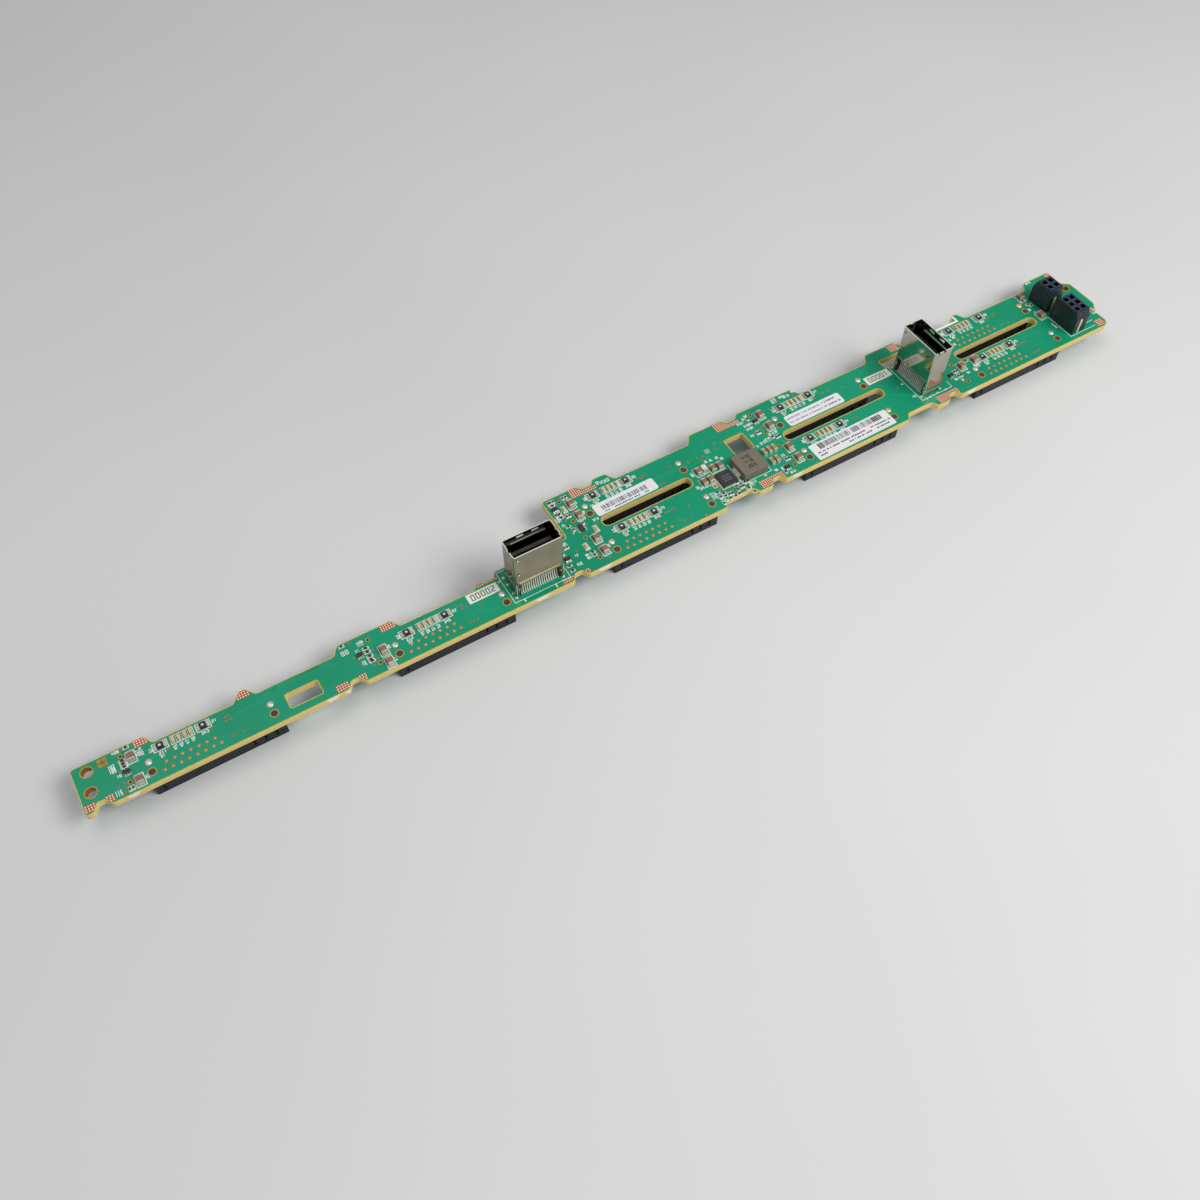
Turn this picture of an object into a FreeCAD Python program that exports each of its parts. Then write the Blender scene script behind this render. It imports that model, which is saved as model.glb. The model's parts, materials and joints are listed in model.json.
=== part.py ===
# A drive backplane board of a rack server: a notched circuit board that stands on its eight drive
# sockets, with two shielded cable ports, two power headers, a switching regulator and small parts.
#
# Frame: millimetres, +X along the board towards the power headers, +Y towards the wide part's back
# edge, +Z up through the cable side. The origin is under the middle of the board, on the plane that
# the sockets' mating faces rest on. Bays count from 0: column 0 to 4 along X, row 0 and 1 along Y,
# and most places are given from a bay's left board lock.

import FreeCAD, Part
import math
import os

Vector = FreeCAD.Vector
Rotation = FreeCAD.Rotation
Placement = FreeCAD.Placement

doc = FreeCAD.newDocument("drive_backplane")

# --------------------------------------------------------------------------- driving dimensions

SIZES = [
    ("end_margin", 65.48, "from the last column's left lock to the header end's bulge"),
    ("board_width", 35.2, "width of the part with two rows of bays"),
    ("narrow_width", 17.1, "width of the part with one row of bays"),
    ("board_thick", 2.4, "board thickness"),
    ("wide_margin", 12.26, "from the wide part's left end to its first bay's left lock"),
    ("bulge_depth", 3.0, "how far the header end bulges"),
    ("narrow_relief", 3.3, "depth of the reliefs in the narrow part's back edge"),
    ("wide_relief", 3.7, "depth of the deep reliefs in the wide part's back edge"),
    ("shallow_relief", 1.9, "depth of the shallow notches in that edge"),
    ("front_relief", 2.6, "depth of the notches in the front edge"),
    ("slot_width", 4.4, "width of the long airflow slots"),
    ("slot_back", 8.79, "from a bay's locks to the middle of an airflow slot"),
    ("first_lock", 21.3, "from the left end to the first bay's left lock"),
    ("lock_margin", 7.8, "from the front edge to the front row's locks"),
    ("bay_pitch", 81.13, "from bay to bay along the board"),
    ("row_pitch", 18.1, "from row to row"),
    ("lock_span", 38.72, "from a socket's left lock to its right lock"),
    ("peg_offset", 3.68, "from the locks forward to the pegs"),
    ("peg_dia", 2.2, "locating peg of a socket"),
    ("peg_clearance", 0.1, "radial clearance of a peg in its hole"),
    ("lock_length", 1.4, "board lock across its plated slot"),
    ("lock_thick", 0.5, "board lock sheet"),
    ("lock_clearance", 0.15, "clearance round a board lock"),
    ("peg_sides", 6, "flats round a peg and its hole"),
    ("mount_hole_dia", 3.5, "mounting holes at the left end"),
    ("end_hole_dia", 2.7, "mounting hole at the header end"),
    ("socket_height", 8.1, "from the board down to a socket's mating face"),
    ("socket_length", 42.4, "socket length"),
    ("socket_base", 3.2, "height of the socket's base with the lock ears"),
    ("socket_front", 5.5, "from the locks forward to the socket's front wall"),
    ("socket_thick", 4.3, "thickness of the socket's mating part"),
    ("ear_depth", 1.5, "how far the lock ears reach behind the locks"),
    ("card_slot_length", 34.6, "length of the socket's card slot"),
    ("card_slot_width", 1.9, "width of the card slot"),
    ("tail_pitch", 1.27, "pitch of the power contacts"),
    ("first_tail", 3.5, "from the left lock to the first power contact"),
    ("front_tail_row", 4.9, "from the locks forward to the front row of tails"),
    ("back_tail_row", 2.36, "from the locks forward to the back row of tails"),
    ("fine_pitch", 0.8, "pitch of the second signal group and of the port contacts"),
    ("blade_thick", 0.25, "thickness of a socket contact"),
    ("blade_width", 0.45, "width of a socket contact"),
    ("port_length", 18.0, "cable port, long side"),
    ("port_width", 8.4, "cable port, short side"),
    ("port_height", 21.0, "cable port, above the board"),
    ("port_wall", 0.35, "sheet thickness of the port's shell"),
    ("lead_window", 6.4, "height of the shell's opening over the leads"),
    ("core_top", 15.4, "height of the core's nose above the board"),
    ("header_pitch", 3.0, "pitch of the power header's ways"),
    ("header_width", 6.5, "power header across its two columns"),
    ("header_height", 9.9, "power header above the board"),
    ("header_end", 1.5, "how far the clip ends reach past the wells' block"),
    ("header_shoulder", 7.0, "height of the clip ends"),
    ("well_size", 2.3, "square well of one way"),
    ("well_floor", 1.5, "floor under the wells"),
    ("coil_length", 10.2, "power inductor along X"),
    ("coil_width", 9.6, "power inductor along Y"),
    ("coil_height", 3.4, "power inductor height"),
    ("chip_size", 6.2, "regulator chip, both ways"),
    ("chip_height", 1.0, "regulator chip height"),
    ("label_thick", 0.12, "label stock"),
]

sheet = doc.addObject("Spreadsheet::Sheet", "sheet")
for row, (alias, value, note) in enumerate(SIZES, start=1):
    sheet.set(f"A{row}", alias)
    sheet.set(f"B{row}", str(value))
    sheet.set(f"C{row}", note)
    sheet.setAlias(f"B{row}", alias)
doc.recompute()

LENGTH = "(sheet.first_lock + 4 * sheet.bay_pitch + sheet.end_margin)"
BOTTOM = "sheet.socket_height"
TOP = "(sheet.socket_height + sheet.board_thick)"
COLUMNS = range(5)
BAYS = [(column, 0) for column in COLUMNS] + [(column, 1) for column in (2, 3, 4)]


def number(text):
    """The value of an expression over the sheet's cells."""
    return float(sheet.evalExpression(str(text)))


def bay_x(column, offset=0):
    """Expression for a place along X, from the left lock of a column of bays."""
    return f"(sheet.first_lock - {LENGTH} / 2 + {column} * sheet.bay_pitch + ({offset}))"


def bay_y(row, offset=0):
    """Expression for a place along Y, from the locks of a row of bays."""
    return f"(sheet.lock_margin - sheet.board_width / 2 + {row} * sheet.row_pitch + ({offset}))"


# ------------------------------------------------------------------------------ modelling helpers

nodes = {}


def node(name, thing):
    """Names a finished sub-part."""
    thing.Label = name
    nodes[name] = thing
    return thing


def bind(thing, **sizes):
    """Binds properties to expressions over the sheet."""
    for name, text in sizes.items():
        thing.setExpression(name, str(text))
    return thing


def place(thing, along, across, height):
    """Binds where a thing stands."""
    thing.setExpression("Placement.Base.x", str(along))
    thing.setExpression("Placement.Base.y", str(across))
    thing.setExpression("Placement.Base.z", str(height))
    return thing


def box(name, length, width, height, along, across, base, centred=True):
    """A box on its base, centred on a point, or with its low corner there."""
    block = doc.addObject("Part::Box", name)
    bind(block, Length=length, Width=width, Height=height)
    if centred:
        along = f"({along}) - ({length}) / 2"
        across = f"({across}) - ({width}) / 2"
    return place(block, along, across, base)


def peg_post(name, height, along, across, base):
    """An upright locating peg with flats."""
    post = doc.addObject("Part::Prism", name)
    bind(post, Polygon="sheet.peg_sides", Circumradius="sheet.peg_dia / 2", Height=height)
    return place(post, along, across, base)


def compound(name, pieces):
    """Several solids in one object."""
    group = doc.addObject("Part::Compound", name)
    group.Links = pieces
    return group


def cut(name, base, tools):
    """The base less a list of tools."""
    result = doc.addObject("Part::Cut", name)
    result.Base = base
    result.Tool = compound(name + "_tools", tools) if len(tools) > 1 else tools[0]
    return result


def fuse(name, pieces):
    """Several touching solids as one."""
    result = doc.addObject("Part::MultiFuse", name)
    result.Shapes = pieces
    result.Refine = True
    return result


def link(name, original, along, across, height, turn=0):
    """A placed copy of a sub-part."""
    copy = doc.addObject("App::Link", name)
    copy.LinkedObject = original
    copy.Placement = Placement(Vector(), Rotation(Vector(0, 0, 1), turn))
    return place(copy, along, across, height)


def row_of(name, original, places):
    """Copies of one piece at a list of places."""
    array = doc.addObject("App::Link", name)
    array.LinkedObject = original
    array.ShowElement = False
    array.ElementCount = len(places)
    array.PlacementList = places
    return array


def origin_plane(body, role):
    """One of a body's own origin planes."""
    return next(plane for plane in body.Origin.OriginFeatures if plane.Role == role)


def new_sketch(body, name, role="XY_Plane"):
    """A sketch on one of the body's origin planes."""
    sketch = body.newObject("Sketcher::SketchObject", name)
    sketch.AttachmentSupport = [(origin_plane(body, role), "")]
    sketch.MapMode = "FlatFace"
    return sketch


def draw_loop(sketch, corners):
    """Draws a closed loop through (x, y, radius) corners, each rounded by a tangent arc."""
    arcs = []
    count = len(corners)
    for index, (x, y, radius) in enumerate(corners):
        corner = Vector(x, y, 0)
        back = Vector(corners[index - 1][0], corners[index - 1][1], 0) - corner
        ahead = Vector(corners[(index + 1) % count][0], corners[(index + 1) % count][1], 0) - corner
        half = back.getAngle(ahead) / 2
        radius = min(radius, 0.45 * min(back.Length, ahead.Length) * math.tan(half))
        if radius < 0.01:
            arcs.append((corner, None, corner))
            continue
        back.normalize()
        ahead.normalize()
        inward = (back + ahead).normalize()
        reach = radius / math.tan(half)
        middle = corner + inward * (radius / math.sin(half) - radius)
        arcs.append((corner + back * reach, middle, corner + ahead * reach))
    for index, (start, middle, end) in enumerate(arcs):
        if middle is not None:
            sketch.addGeometry(Part.Arc(start, middle, end), False)
        sketch.addGeometry(Part.LineSegment(end, arcs[(index + 1) % count][0]), False)


def draw_rectangle(sketch, low_x, high_x, low_y, high_y, radius=0):
    """A rectangle with rounded corners."""
    corners = [(low_x, low_y), (high_x, low_y), (high_x, high_y), (low_x, high_y)]
    draw_loop(sketch, [(x, y, radius) for x, y in corners])


def draw_circle(sketch, x, y, diameter):
    """A full circle."""
    sketch.addGeometry(Part.Circle(Vector(x, y, 0), Vector(0, 0, 1), diameter / 2), False)


def draw_polygon(sketch, x, y, radius):
    """A regular polygon with as many sides as a peg, and a corner on its +X side."""
    sides = round(number("sheet.peg_sides"))
    turns = [2 * math.pi * step / sides for step in range(sides)]
    draw_loop(sketch, [(x + radius * math.cos(turn), y + radius * math.sin(turn), 0) for turn in turns])


def pad(body, sketch, length, middle=False):
    """Pads a sketch by a bound length."""
    feature = body.newObject("PartDesign::Pad", sketch.Name + "_pad")
    feature.Profile = sketch
    feature.Midplane = middle
    bind(feature, Length=length)
    sketch.Visibility = False
    return feature


def new_body(name):
    """An empty PartDesign body."""
    return doc.addObject("PartDesign::Body", name)


# ------------------------------------------------------------------------------------ the board

left = number(f"-{LENGTH} / 2")
bulge = -left
right = bulge - number("sheet.bulge_depth")
front = number("-sheet.board_width / 2")
back = -front
narrow_back = front + number("sheet.narrow_width")
narrow_low = narrow_back - number("sheet.narrow_relief")
wide_low = back - number("sheet.wide_relief")
wide_middle = back - number("sheet.shallow_relief")
front_low = front + number("sheet.front_relief")


def column_x(column, offset=0.0):
    return number(bay_x(column, offset))


def row_y(row, offset=0.0):
    return number(bay_y(row, offset))


wide_left = column_x(2, -number("sheet.wide_margin"))


def notch(start, start_flank, end, end_flank, edge, depth_line):
    """Four corners of a relief that runs from start to end, with sloped flanks."""
    toward = 1 if end > start else -1
    points = [
        (start, edge),
        (start + toward * start_flank, depth_line),
        (end - toward * end_flank, depth_line),
        (end, edge),
    ]
    return [(x, y, 0) for x, y in points]


outline = [(left, front, 1.0)]
for column in COLUMNS:
    if column > 2:
        outline += notch(column_x(column, -38.6), 1.8, column_x(column, -24.4), 1.7, front, front_low)
    outline += notch(column_x(column, -18.9), 1.6, column_x(column, -13.0), 1.7, front, front_low)
outline += [
    (right, front, 3.0),
    (right, front + 7.7, 1.5),
    (bulge, front + 11.9, 1.5),
    (bulge, front + 25.1, 1.5),
    (right, front + 27.4, 1.5),
    (right, back, 1.0),
]
for column in (4, 3, 2):
    outline += notch(column_x(column, 49.3), 2.7, column_x(column, 13.6), 2.1, back, wide_low)
    if column == 4:
        outline += notch(column_x(column, 11.5), 2.8, column_x(column, -1.2), 1.9, back, wide_low)
    middle = {4: -14.75, 3: -14.6, 2: 4.85}[column]
    outline += notch(
        column_x(column, middle + 3.5), 1.6, column_x(column, middle - 3.5), 1.6, back, wide_middle
    )
outline += [
    (wide_left, back, 1.3),
    (wide_left, narrow_back, 1.0),
    (column_x(1, 40.8), narrow_back, 0),
    (column_x(1, 39.5), narrow_back - 2.1, 0),
    (column_x(1, 35.4), narrow_back - 2.1, 0),
    (column_x(1, 33.9), narrow_back - 0.8, 0),
    (column_x(1, 31.5), narrow_low, 0),
    (column_x(1, 4.7), narrow_low, 0),
    (column_x(1, 2.6), narrow_back, 0),
]
outline += notch(column_x(0, 64.9), 2.4, column_x(0, 33.9), 2.5, narrow_back, narrow_low)
outline += notch(column_x(0, 31.8), 2.9, column_x(0, 1.3), 2.0, narrow_back, narrow_low)
outline += [(left, narrow_back, 1.0)]

board_body = new_body("board_body")
outline_sketch = new_sketch(board_body, "outline")
draw_loop(outline_sketch, outline)

slot_line = row_y(0, number("sheet.slot_back"))
slot_low = slot_line - number("sheet.slot_width") / 2
slot_high = slot_line + number("sheet.slot_width") / 2
for column, start, end in [(2, 1.75, 38.25), (3, -2.0, 43.2), (4, -1.9, 38.35)]:
    draw_rectangle(
        outline_sketch, column_x(column, start), column_x(column, end), slot_low, slot_high, (slot_high - slot_low) / 2
    )
draw_rectangle(outline_sketch, column_x(1, -37.3), column_x(1, -26.5), row_y(0, -4.65), row_y(0, 0.75))
draw_rectangle(outline_sketch, column_x(3, -22.25), column_x(3, -14.4), row_y(0, 10.35), row_y(0, 18.5))
draw_rectangle(outline_sketch, column_x(4, -29.3), column_x(4, -18.6), row_y(0, 17.8), row_y(0, 22.0))

for x, y in [(-16.9, 6.2), (-17.7, -1.0)]:
    draw_circle(outline_sketch, column_x(0, x), row_y(0, y), number("sheet.mount_hole_dia"))
draw_circle(outline_sketch, right - 0.5, front + 24.1, number("sheet.end_hole_dia"))
peg_radius = number("sheet.peg_dia / 2 + sheet.peg_clearance")
lock_reach = number("sheet.lock_length / 2 + sheet.lock_clearance")
lock_side = number("sheet.lock_thick / 2 + sheet.lock_clearance")
for column, row in BAYS:
    for lock in (0, number("sheet.lock_span")):
        x = column_x(column, lock)
        y = row_y(row)
        draw_rectangle(outline_sketch, x - lock_reach, x + lock_reach, y - lock_side, y + lock_side)
        draw_polygon(outline_sketch, x, y - number("sheet.peg_offset"), peg_radius)
pad(board_body, outline_sketch, "sheet.board_thick")
place(board_body, 0, 0, BOTTOM)
node("board", board_body)

# ---------------------------------------------------------------------------- the drive sockets
# Each stands under the board with its left lock at its own origin and its top on the board.

SOCKET_END = "(sheet.socket_length - sheet.lock_span) / 2"
SLOT_START = "(sheet.lock_span - sheet.card_slot_length) / 2 + 0.6"
ROWS_MIDDLE = "(0 - (sheet.front_tail_row + sheet.back_tail_row) / 2)"
CHAMBER = "5.7"

mating_part = box(
    "mating_part", "sheet.socket_length", "sheet.socket_thick", "sheet.socket_height",
    f"0 - {SOCKET_END}", "0 - sheet.socket_front", "0 - sheet.socket_height", centred=False,
)
ears = [
    box(
        "lock_ear", "3.4", "sheet.ear_depth + sheet.socket_front", "sheet.socket_base",
        start, "0 - sheet.socket_front", "0 - sheet.socket_base", centred=False,
    )
    for start in (f"0 - {SOCKET_END}", f"sheet.lock_span + {SOCKET_END} - 3.4")
]
pegs = [
    peg_post("peg", "sheet.board_thick - 0.3 + 1", x, "0 - sheet.peg_offset", "-1")
    for x in ("0", "sheet.lock_span")
]
socket_block = fuse("socket_block", [mating_part] + ears + pegs)

card_slot = box(
    "card_slot", "sheet.card_slot_length", "sheet.card_slot_width", "sheet.socket_height",
    SLOT_START, f"{ROWS_MIDDLE} - sheet.card_slot_width / 2", "0 - sheet.socket_height", centred=False,
)
chamber = box(
    "contact_chamber", "sheet.card_slot_length",
    "sheet.front_tail_row - sheet.back_tail_row + 2 * sheet.blade_thick", CHAMBER,
    SLOT_START, "0 - sheet.front_tail_row - sheet.blade_thick", f"0 - {CHAMBER}", centred=False,
)
keys = [
    box(
        "slot_key", "1.3", "1.3", "5", start, f"{ROWS_MIDDLE} + sheet.card_slot_width / 2",
        "0 - sheet.socket_height", centred=False,
    )
    for start in (SLOT_START, f"{SLOT_START} + sheet.card_slot_length - 1.3")
]
guides = [
    box(
        "guide_slot", "1.7", "1.7", "5.2", start, f"{ROWS_MIDDLE} - 0.85", "0 - sheet.socket_height",
        centred=False,
    )
    for start in (f"0 - {SOCKET_END}", f"sheet.lock_span + {SOCKET_END} - 1.7")
]
grooves = [
    box(
        "front_groove", "0.8", "0.45", "2.4", str(x), "0 - sheet.socket_front", "-6.6", centred=False
    )
    for x in (0.5, 29.4, 33.0, 36.7)
]
socket = cut("socket", socket_block, [card_slot, chamber] + keys + guides + grooves)


def socket_blade(name, tail_row, tip_shift):
    """A spring blade that leans from its tail at the board to the lip of the card slot."""
    blade = doc.addObject("Part::Wedge", name)
    half = "sheet.blade_thick / 2"
    bind(
        blade,
        Xmin="0 - sheet.blade_width / 2", Xmax="sheet.blade_width / 2",
        X2min="0 - sheet.blade_width / 2", X2max="sheet.blade_width / 2",
        Zmin=f"0 - {tail_row} - {half}", Zmax=f"0 - {tail_row} + {half}",
        Z2min=f"0 - {tail_row} - {half} + {tip_shift}", Z2max=f"0 - {tail_row} + {half} + {tip_shift}",
        Ymin="0", Ymax="sheet.socket_height - 0.9",
    )
    return blade


TIP = "(sheet.front_tail_row - sheet.back_tail_row - sheet.card_slot_width + 2 * sheet.blade_thick) / 2"
front_blade = socket_blade("front_blade", "sheet.front_tail_row", TIP)
back_blade = socket_blade("back_blade", "sheet.back_tail_row", f"(0 - {TIP})")
UPSIDE_DOWN = Rotation(Vector(1, 0, 0), -90)


def blade_places(start, pitch, count):
    """Places of a row of blades, turned so that they point down from the board."""
    return [Placement(Vector(start + pitch * step, 0, 0), UPSIDE_DOWN) for step in range(count)]


tail_pitch = number("sheet.tail_pitch")
first_tail = number("sheet.first_tail")
fine_pitch = number("sheet.fine_pitch")
socket_contacts = compound("socket_contacts", [
    row_of("front_power", front_blade, blade_places(first_tail, 2 * tail_pitch, 8)),
    row_of("back_power", back_blade, blade_places(first_tail + tail_pitch, 2 * tail_pitch, 7)),
    row_of("front_signals", front_blade, blade_places(first_tail + 25.4, tail_pitch, 7)),
    row_of("back_signals", back_blade, blade_places(first_tail + 19.4, fine_pitch, 7)),
])

for bay, (column, row) in enumerate(BAYS, start=1):
    node(f"drive_socket_{bay}", link(f"socket_{bay}", socket, bay_x(column), bay_y(row), BOTTOM))
    node(
        f"drive_socket_contacts_{bay}",
        link(f"contacts_{bay}", socket_contacts, bay_x(column), bay_y(row), BOTTOM),
    )

lock = compound("board_lock", [
    box("lock_blade", "sheet.lock_length", "sheet.lock_thick", "sheet.board_thick + 0.5", "0", "0", "0")
])
lock_places = []
for column, row in BAYS:
    for offset in (0, number("sheet.lock_span")):
        lock_places.append(Placement(
            Vector(column_x(column, offset), row_y(row), number(BOTTOM)), Rotation()
        ))
node("board_locks", row_of("board_locks", lock, lock_places))

# ------------------------------------------------------------------------------- the cable ports
# Built with the long side along X and the leads towards -Y, centred over the board's top face.

shell_body = new_body("shell_body")
ring = new_sketch(shell_body, "shell_ring")
half_length = number("sheet.port_length / 2")
half_width = number("sheet.port_width / 2")
wall = number("sheet.port_wall")
draw_rectangle(ring, -half_length, half_length, -half_width, half_width, 0.9)
inner_x = half_length - wall
inner_y = half_width - wall
BEND_INSIDE = 0.3
draw_loop(ring, [
    (sign_x * (inner_x - BEND_INSIDE * side), sign_y * (inner_y - BEND_INSIDE * (1 - side)), 0)
    for sign_x, sign_y, sides in [(1, 1, (0, 1)), (-1, 1, (1, 0)), (-1, -1, (0, 1)), (1, -1, (1, 0))]
    for side in sides
])
pad(shell_body, ring, "sheet.port_height")

LEAD_SIDE = "(0 - sheet.port_width / 2)"
BACK_SIDE = "(sheet.port_width / 2)"
RIM = "sheet.port_height"
shell_cuts = [
    box("lead_window", "sheet.port_length - 2.2", "2", "sheet.lead_window", "0", LEAD_SIDE, "0"),
    box("latch_slot", "12.8", "2", "0.6", "0.4", BACK_SIDE, f"{RIM} - 3.7"),
    box("back_foot_gap", "sheet.port_length - 3.6", "2", "0.8", "0", BACK_SIDE, "0"),
    box("seam", "2", "0.16", RIM, "0 - sheet.port_length / 2", "0.9", "0"),
    box("rim_notch", "2", "1.5", "0.8", "0 - sheet.port_length / 2", "0 - 0.5", f"{RIM} - 0.8"),
    box("rim_notch", "2", "0.9", "0.8", "sheet.port_length / 2", "0.1", f"{RIM} - 0.8"),
    box("rim_notch", "2", "0.7", "0.8", "sheet.port_length / 2", "0 - 2.6", f"{RIM} - 0.8"),
]
for x in ("-2.3", "3.2"):
    shell_cuts.append(box("latch_window", "2.5", "2", "1.0", x, BACK_SIDE, f"{RIM} - 1.9"))
for side in ("0 - sheet.port_length / 2", "sheet.port_length / 2"):
    for y in ("-1.75", "1.75"):
        shell_cuts.append(box("side_foot_gap", "2", "2.2", "0.8", side, y, "0"))
shell_walls = cut("shell_walls", shell_body, shell_cuts)
lip = box(
    "lead_lip", "sheet.port_length - 2.6", "0.25", "0.7", "0", f"{LEAD_SIDE} - 0.125", "sheet.lead_window"
)
port_shell = fuse("port_shell", [shell_walls, lip])

CORE_LENGTH = "(sheet.port_length - 2 * sheet.port_wall)"
CORE_END = "1.1"
NOSE_LENGTH = f"({CORE_LENGTH} - 2.1)"
CORE_BACK = "(sheet.port_width / 2 - sheet.port_wall)"
LEAD_RECESS = "2.3"
core_block = box(
    "core_block", CORE_LENGTH, f"{CORE_BACK} + {LEAD_RECESS} - 1.5", "5.7",
    "0", f"({CORE_BACK} - 1.5 - {LEAD_RECESS}) / 2", "0.3",
)
core_ends = [
    box("core_end", CORE_END, f"{CORE_BACK} - 0.35", "5.7", x, f"(0.35 - {CORE_BACK}) / 2", "0.3")
    for x in (f"({CORE_END} - {CORE_LENGTH}) / 2", f"({CORE_LENGTH} - {CORE_END}) / 2")
]
nose = box("nose", NOSE_LENGTH, "4.4", "sheet.core_top - 0.3", "0", "0.1", "0.3")
nose_slot = box("nose_slot", f"{NOSE_LENGTH} - 1.6", "1.5", "8", "0", "0.1", "sheet.core_top - 8")
port_core = cut("port_core", fuse("core_solid", [core_block] + core_ends + [nose]), [nose_slot])

lead_body = new_body("lead_body")
lead_profile = new_sketch(lead_body, "lead_profile", "YZ_Plane")
recess = number(LEAD_RECESS)
foot_tip = half_width - 0.3
LEAD_THICK = 0.2
draw_loop(lead_profile, [
    (-foot_tip, 0, 0),
    (-recess - 0.85 + LEAD_THICK, 0, 0),
    (-recess, 5.4, 0),
    (-recess - LEAD_THICK - 0.05, 5.4, 0),
    (-recess - 0.85, LEAD_THICK, 0),
    (-foot_tip, LEAD_THICK, 0),
])
LEAD_WIDTH = "0.36"
LEAD_MARGIN = "0.55"
pad(lead_body, lead_profile, LEAD_WIDTH, middle=True)
port_leads = []
back_row_shift = number(f"{CORE_BACK} - 1.5 - {LEAD_RECESS}")
lead_span = number(f"{CORE_LENGTH} - 2 * {CORE_END} - 2 * {LEAD_MARGIN} - {LEAD_WIDTH}")
lead_steps = int(lead_span / fine_pitch)
for step in range(lead_steps + 1):
    x = (step - lead_steps / 2) * fine_pitch
    port_leads.append(Placement(Vector(x, 0, 0), Rotation()))
    port_leads.append(Placement(Vector(x, back_row_shift, 0), Rotation(Vector(0, 0, 1), 180)))
port_contacts = row_of("port_contacts", lead_body, port_leads)

PORTS = [(1, bay_x(4, -22.7), bay_y(0, 7.6), -90), (2, bay_x(1, 51.45), bay_y(0, 0.3), 0)]
for number_on_board, x, y, turn in PORTS:
    for name, original in [
        ("port_shell", port_shell), ("port_core", port_core), ("port_contacts", port_contacts),
    ]:
        label = f"{name}_{number_on_board}"
        node(label, link(label + "_place", original, x, y, TOP, turn))

# ------------------------------------------------------------------------------ the power headers


def power_header(index, ways, x, y):
    """A two-column header with its wells' block between two lower clip ends."""
    block_length = f"({ways} * sheet.header_pitch + 0.65)"
    whole_length = f"({block_length} + 2 * sheet.header_end)"
    half = number(whole_length) / 2
    shoulder = number("sheet.header_shoulder")
    height = number("sheet.header_height")
    body = new_body(f"header_body_{index}")
    side = new_sketch(body, f"header_side_{index}", "YZ_Plane")
    draw_loop(side, [
        (-half, 0, 0), (half, 0, 0), (half, shoulder, 0), (half - 1.35, height, 0),
        (1.35 - half, height, 0), (-half, shoulder, 0),
    ])
    pad(body, side, "sheet.header_width", middle=True)
    wells = [
        box(
            "well", "sheet.well_size", "sheet.well_size", "sheet.header_height",
            f"{column} * sheet.header_pitch", f"{step} * sheet.header_pitch", "sheet.well_floor",
        )
        for column in (-0.5, 0.5) for step in [way - (ways - 1) / 2 for way in range(ways)]
    ]
    clip_slots = [
        box("clip_slot", "2.2", "1.0", "sheet.header_shoulder", "0", f"{sign} * {whole_length} / 2", "0")
        for sign in (-1, 1)
    ]
    hollow = cut(f"header_hollow_{index}", body, wells + clip_slots)
    latch = doc.addObject("Part::Wedge", "latch")
    bind(
        latch, Xmin="-0.8", Xmax="0.8", X2min="-0.8", X2max="0.8", Zmin="0", Zmax="0.05",
        Z2min="0", Z2max="0.75", Ymin="0", Ymax="2.6",
    )
    latch.Placement = Placement(Vector(), Rotation(Vector(0, 1, 0), Vector(0, 0, 1), Vector(1, 0, 0)))
    place(latch, "0 - sheet.header_width / 2", "0", "sheet.header_shoulder - 1.6")
    housing = fuse(f"header_housing_{index}", [hollow, latch])
    pins = [
        box(
            "pin", "0.64", "0.64", "6.6", f"{column} * sheet.header_pitch",
            f"{step} * sheet.header_pitch", "sheet.well_floor",
        )
        for column in (-0.5, 0.5) for step in [way - (ways - 1) / 2 for way in range(ways)]
    ]
    clips = [
        box("clip", "1.3", "0.3", "6.2", "0", f"{sign} * ({whole_length} / 2 - 0.35)", "0")
        for sign in (-1, 1)
    ]
    node(f"power_header_{index}", link(f"header_{index}", housing, x, y, TOP))
    pin_group = compound(f"pin_group_{index}", pins)
    node(f"power_header_pins_{index}", link(f"pins_{index}", pin_group, x, y, TOP))
    return link(f"clips_{index}", compound(f"clip_group_{index}", clips), x, y, TOP)


header_x = bay_x(4, 47.9)
clips = [
    power_header(1, 2, header_x, bay_y(0, 14.5)),
    power_header(2, 3, header_x, bay_y(0, 1.3)),
]
node("header_clips", compound("header_clips", clips))

# ------------------------------------------------------------------------------- regulator parts


def chip_block(name, length, width, height, x, y):
    """A block with a chamfered top edge, as moulded parts have."""
    body = new_body(name + "_body")
    plan = new_sketch(body, name + "_plan")
    draw_rectangle(
        plan, -number(length) / 2, number(length) / 2, -number(width) / 2, number(width) / 2, 0
    )
    block = pad(body, plan, height)
    doc.recompute()
    chamfer = body.newObject("PartDesign::Chamfer", name + "_chamfer")
    chamfer.Base = (block, ["Face6"])
    chamfer.Size = 0.25
    return place(body, x, y, TOP)


node("power_inductor", chip_block(
    "power_inductor", "sheet.coil_length", "sheet.coil_width", "sheet.coil_height",
    bay_x(3, -21.8), bay_y(0, 3.6),
))
node("regulator_chip", chip_block(
    "regulator_chip", "sheet.chip_size", "sheet.chip_size", "sheet.chip_height",
    bay_x(3, -31.7), bay_y(0, 3.1),
))

# --------------------------------------------------------------------- small parts and the labels


def parts_group(name, size, places):
    """Equal blocks on the board, each at (column, row, x, y) from its bay, as one sub-part."""
    length, width, height = size
    blocks = [
        box(f"{name}_block", length, width, height, bay_x(column, x), bay_y(row, y), TOP)
        for column, row, x, y in places
    ]
    return node(name, compound(name, blocks))


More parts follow.
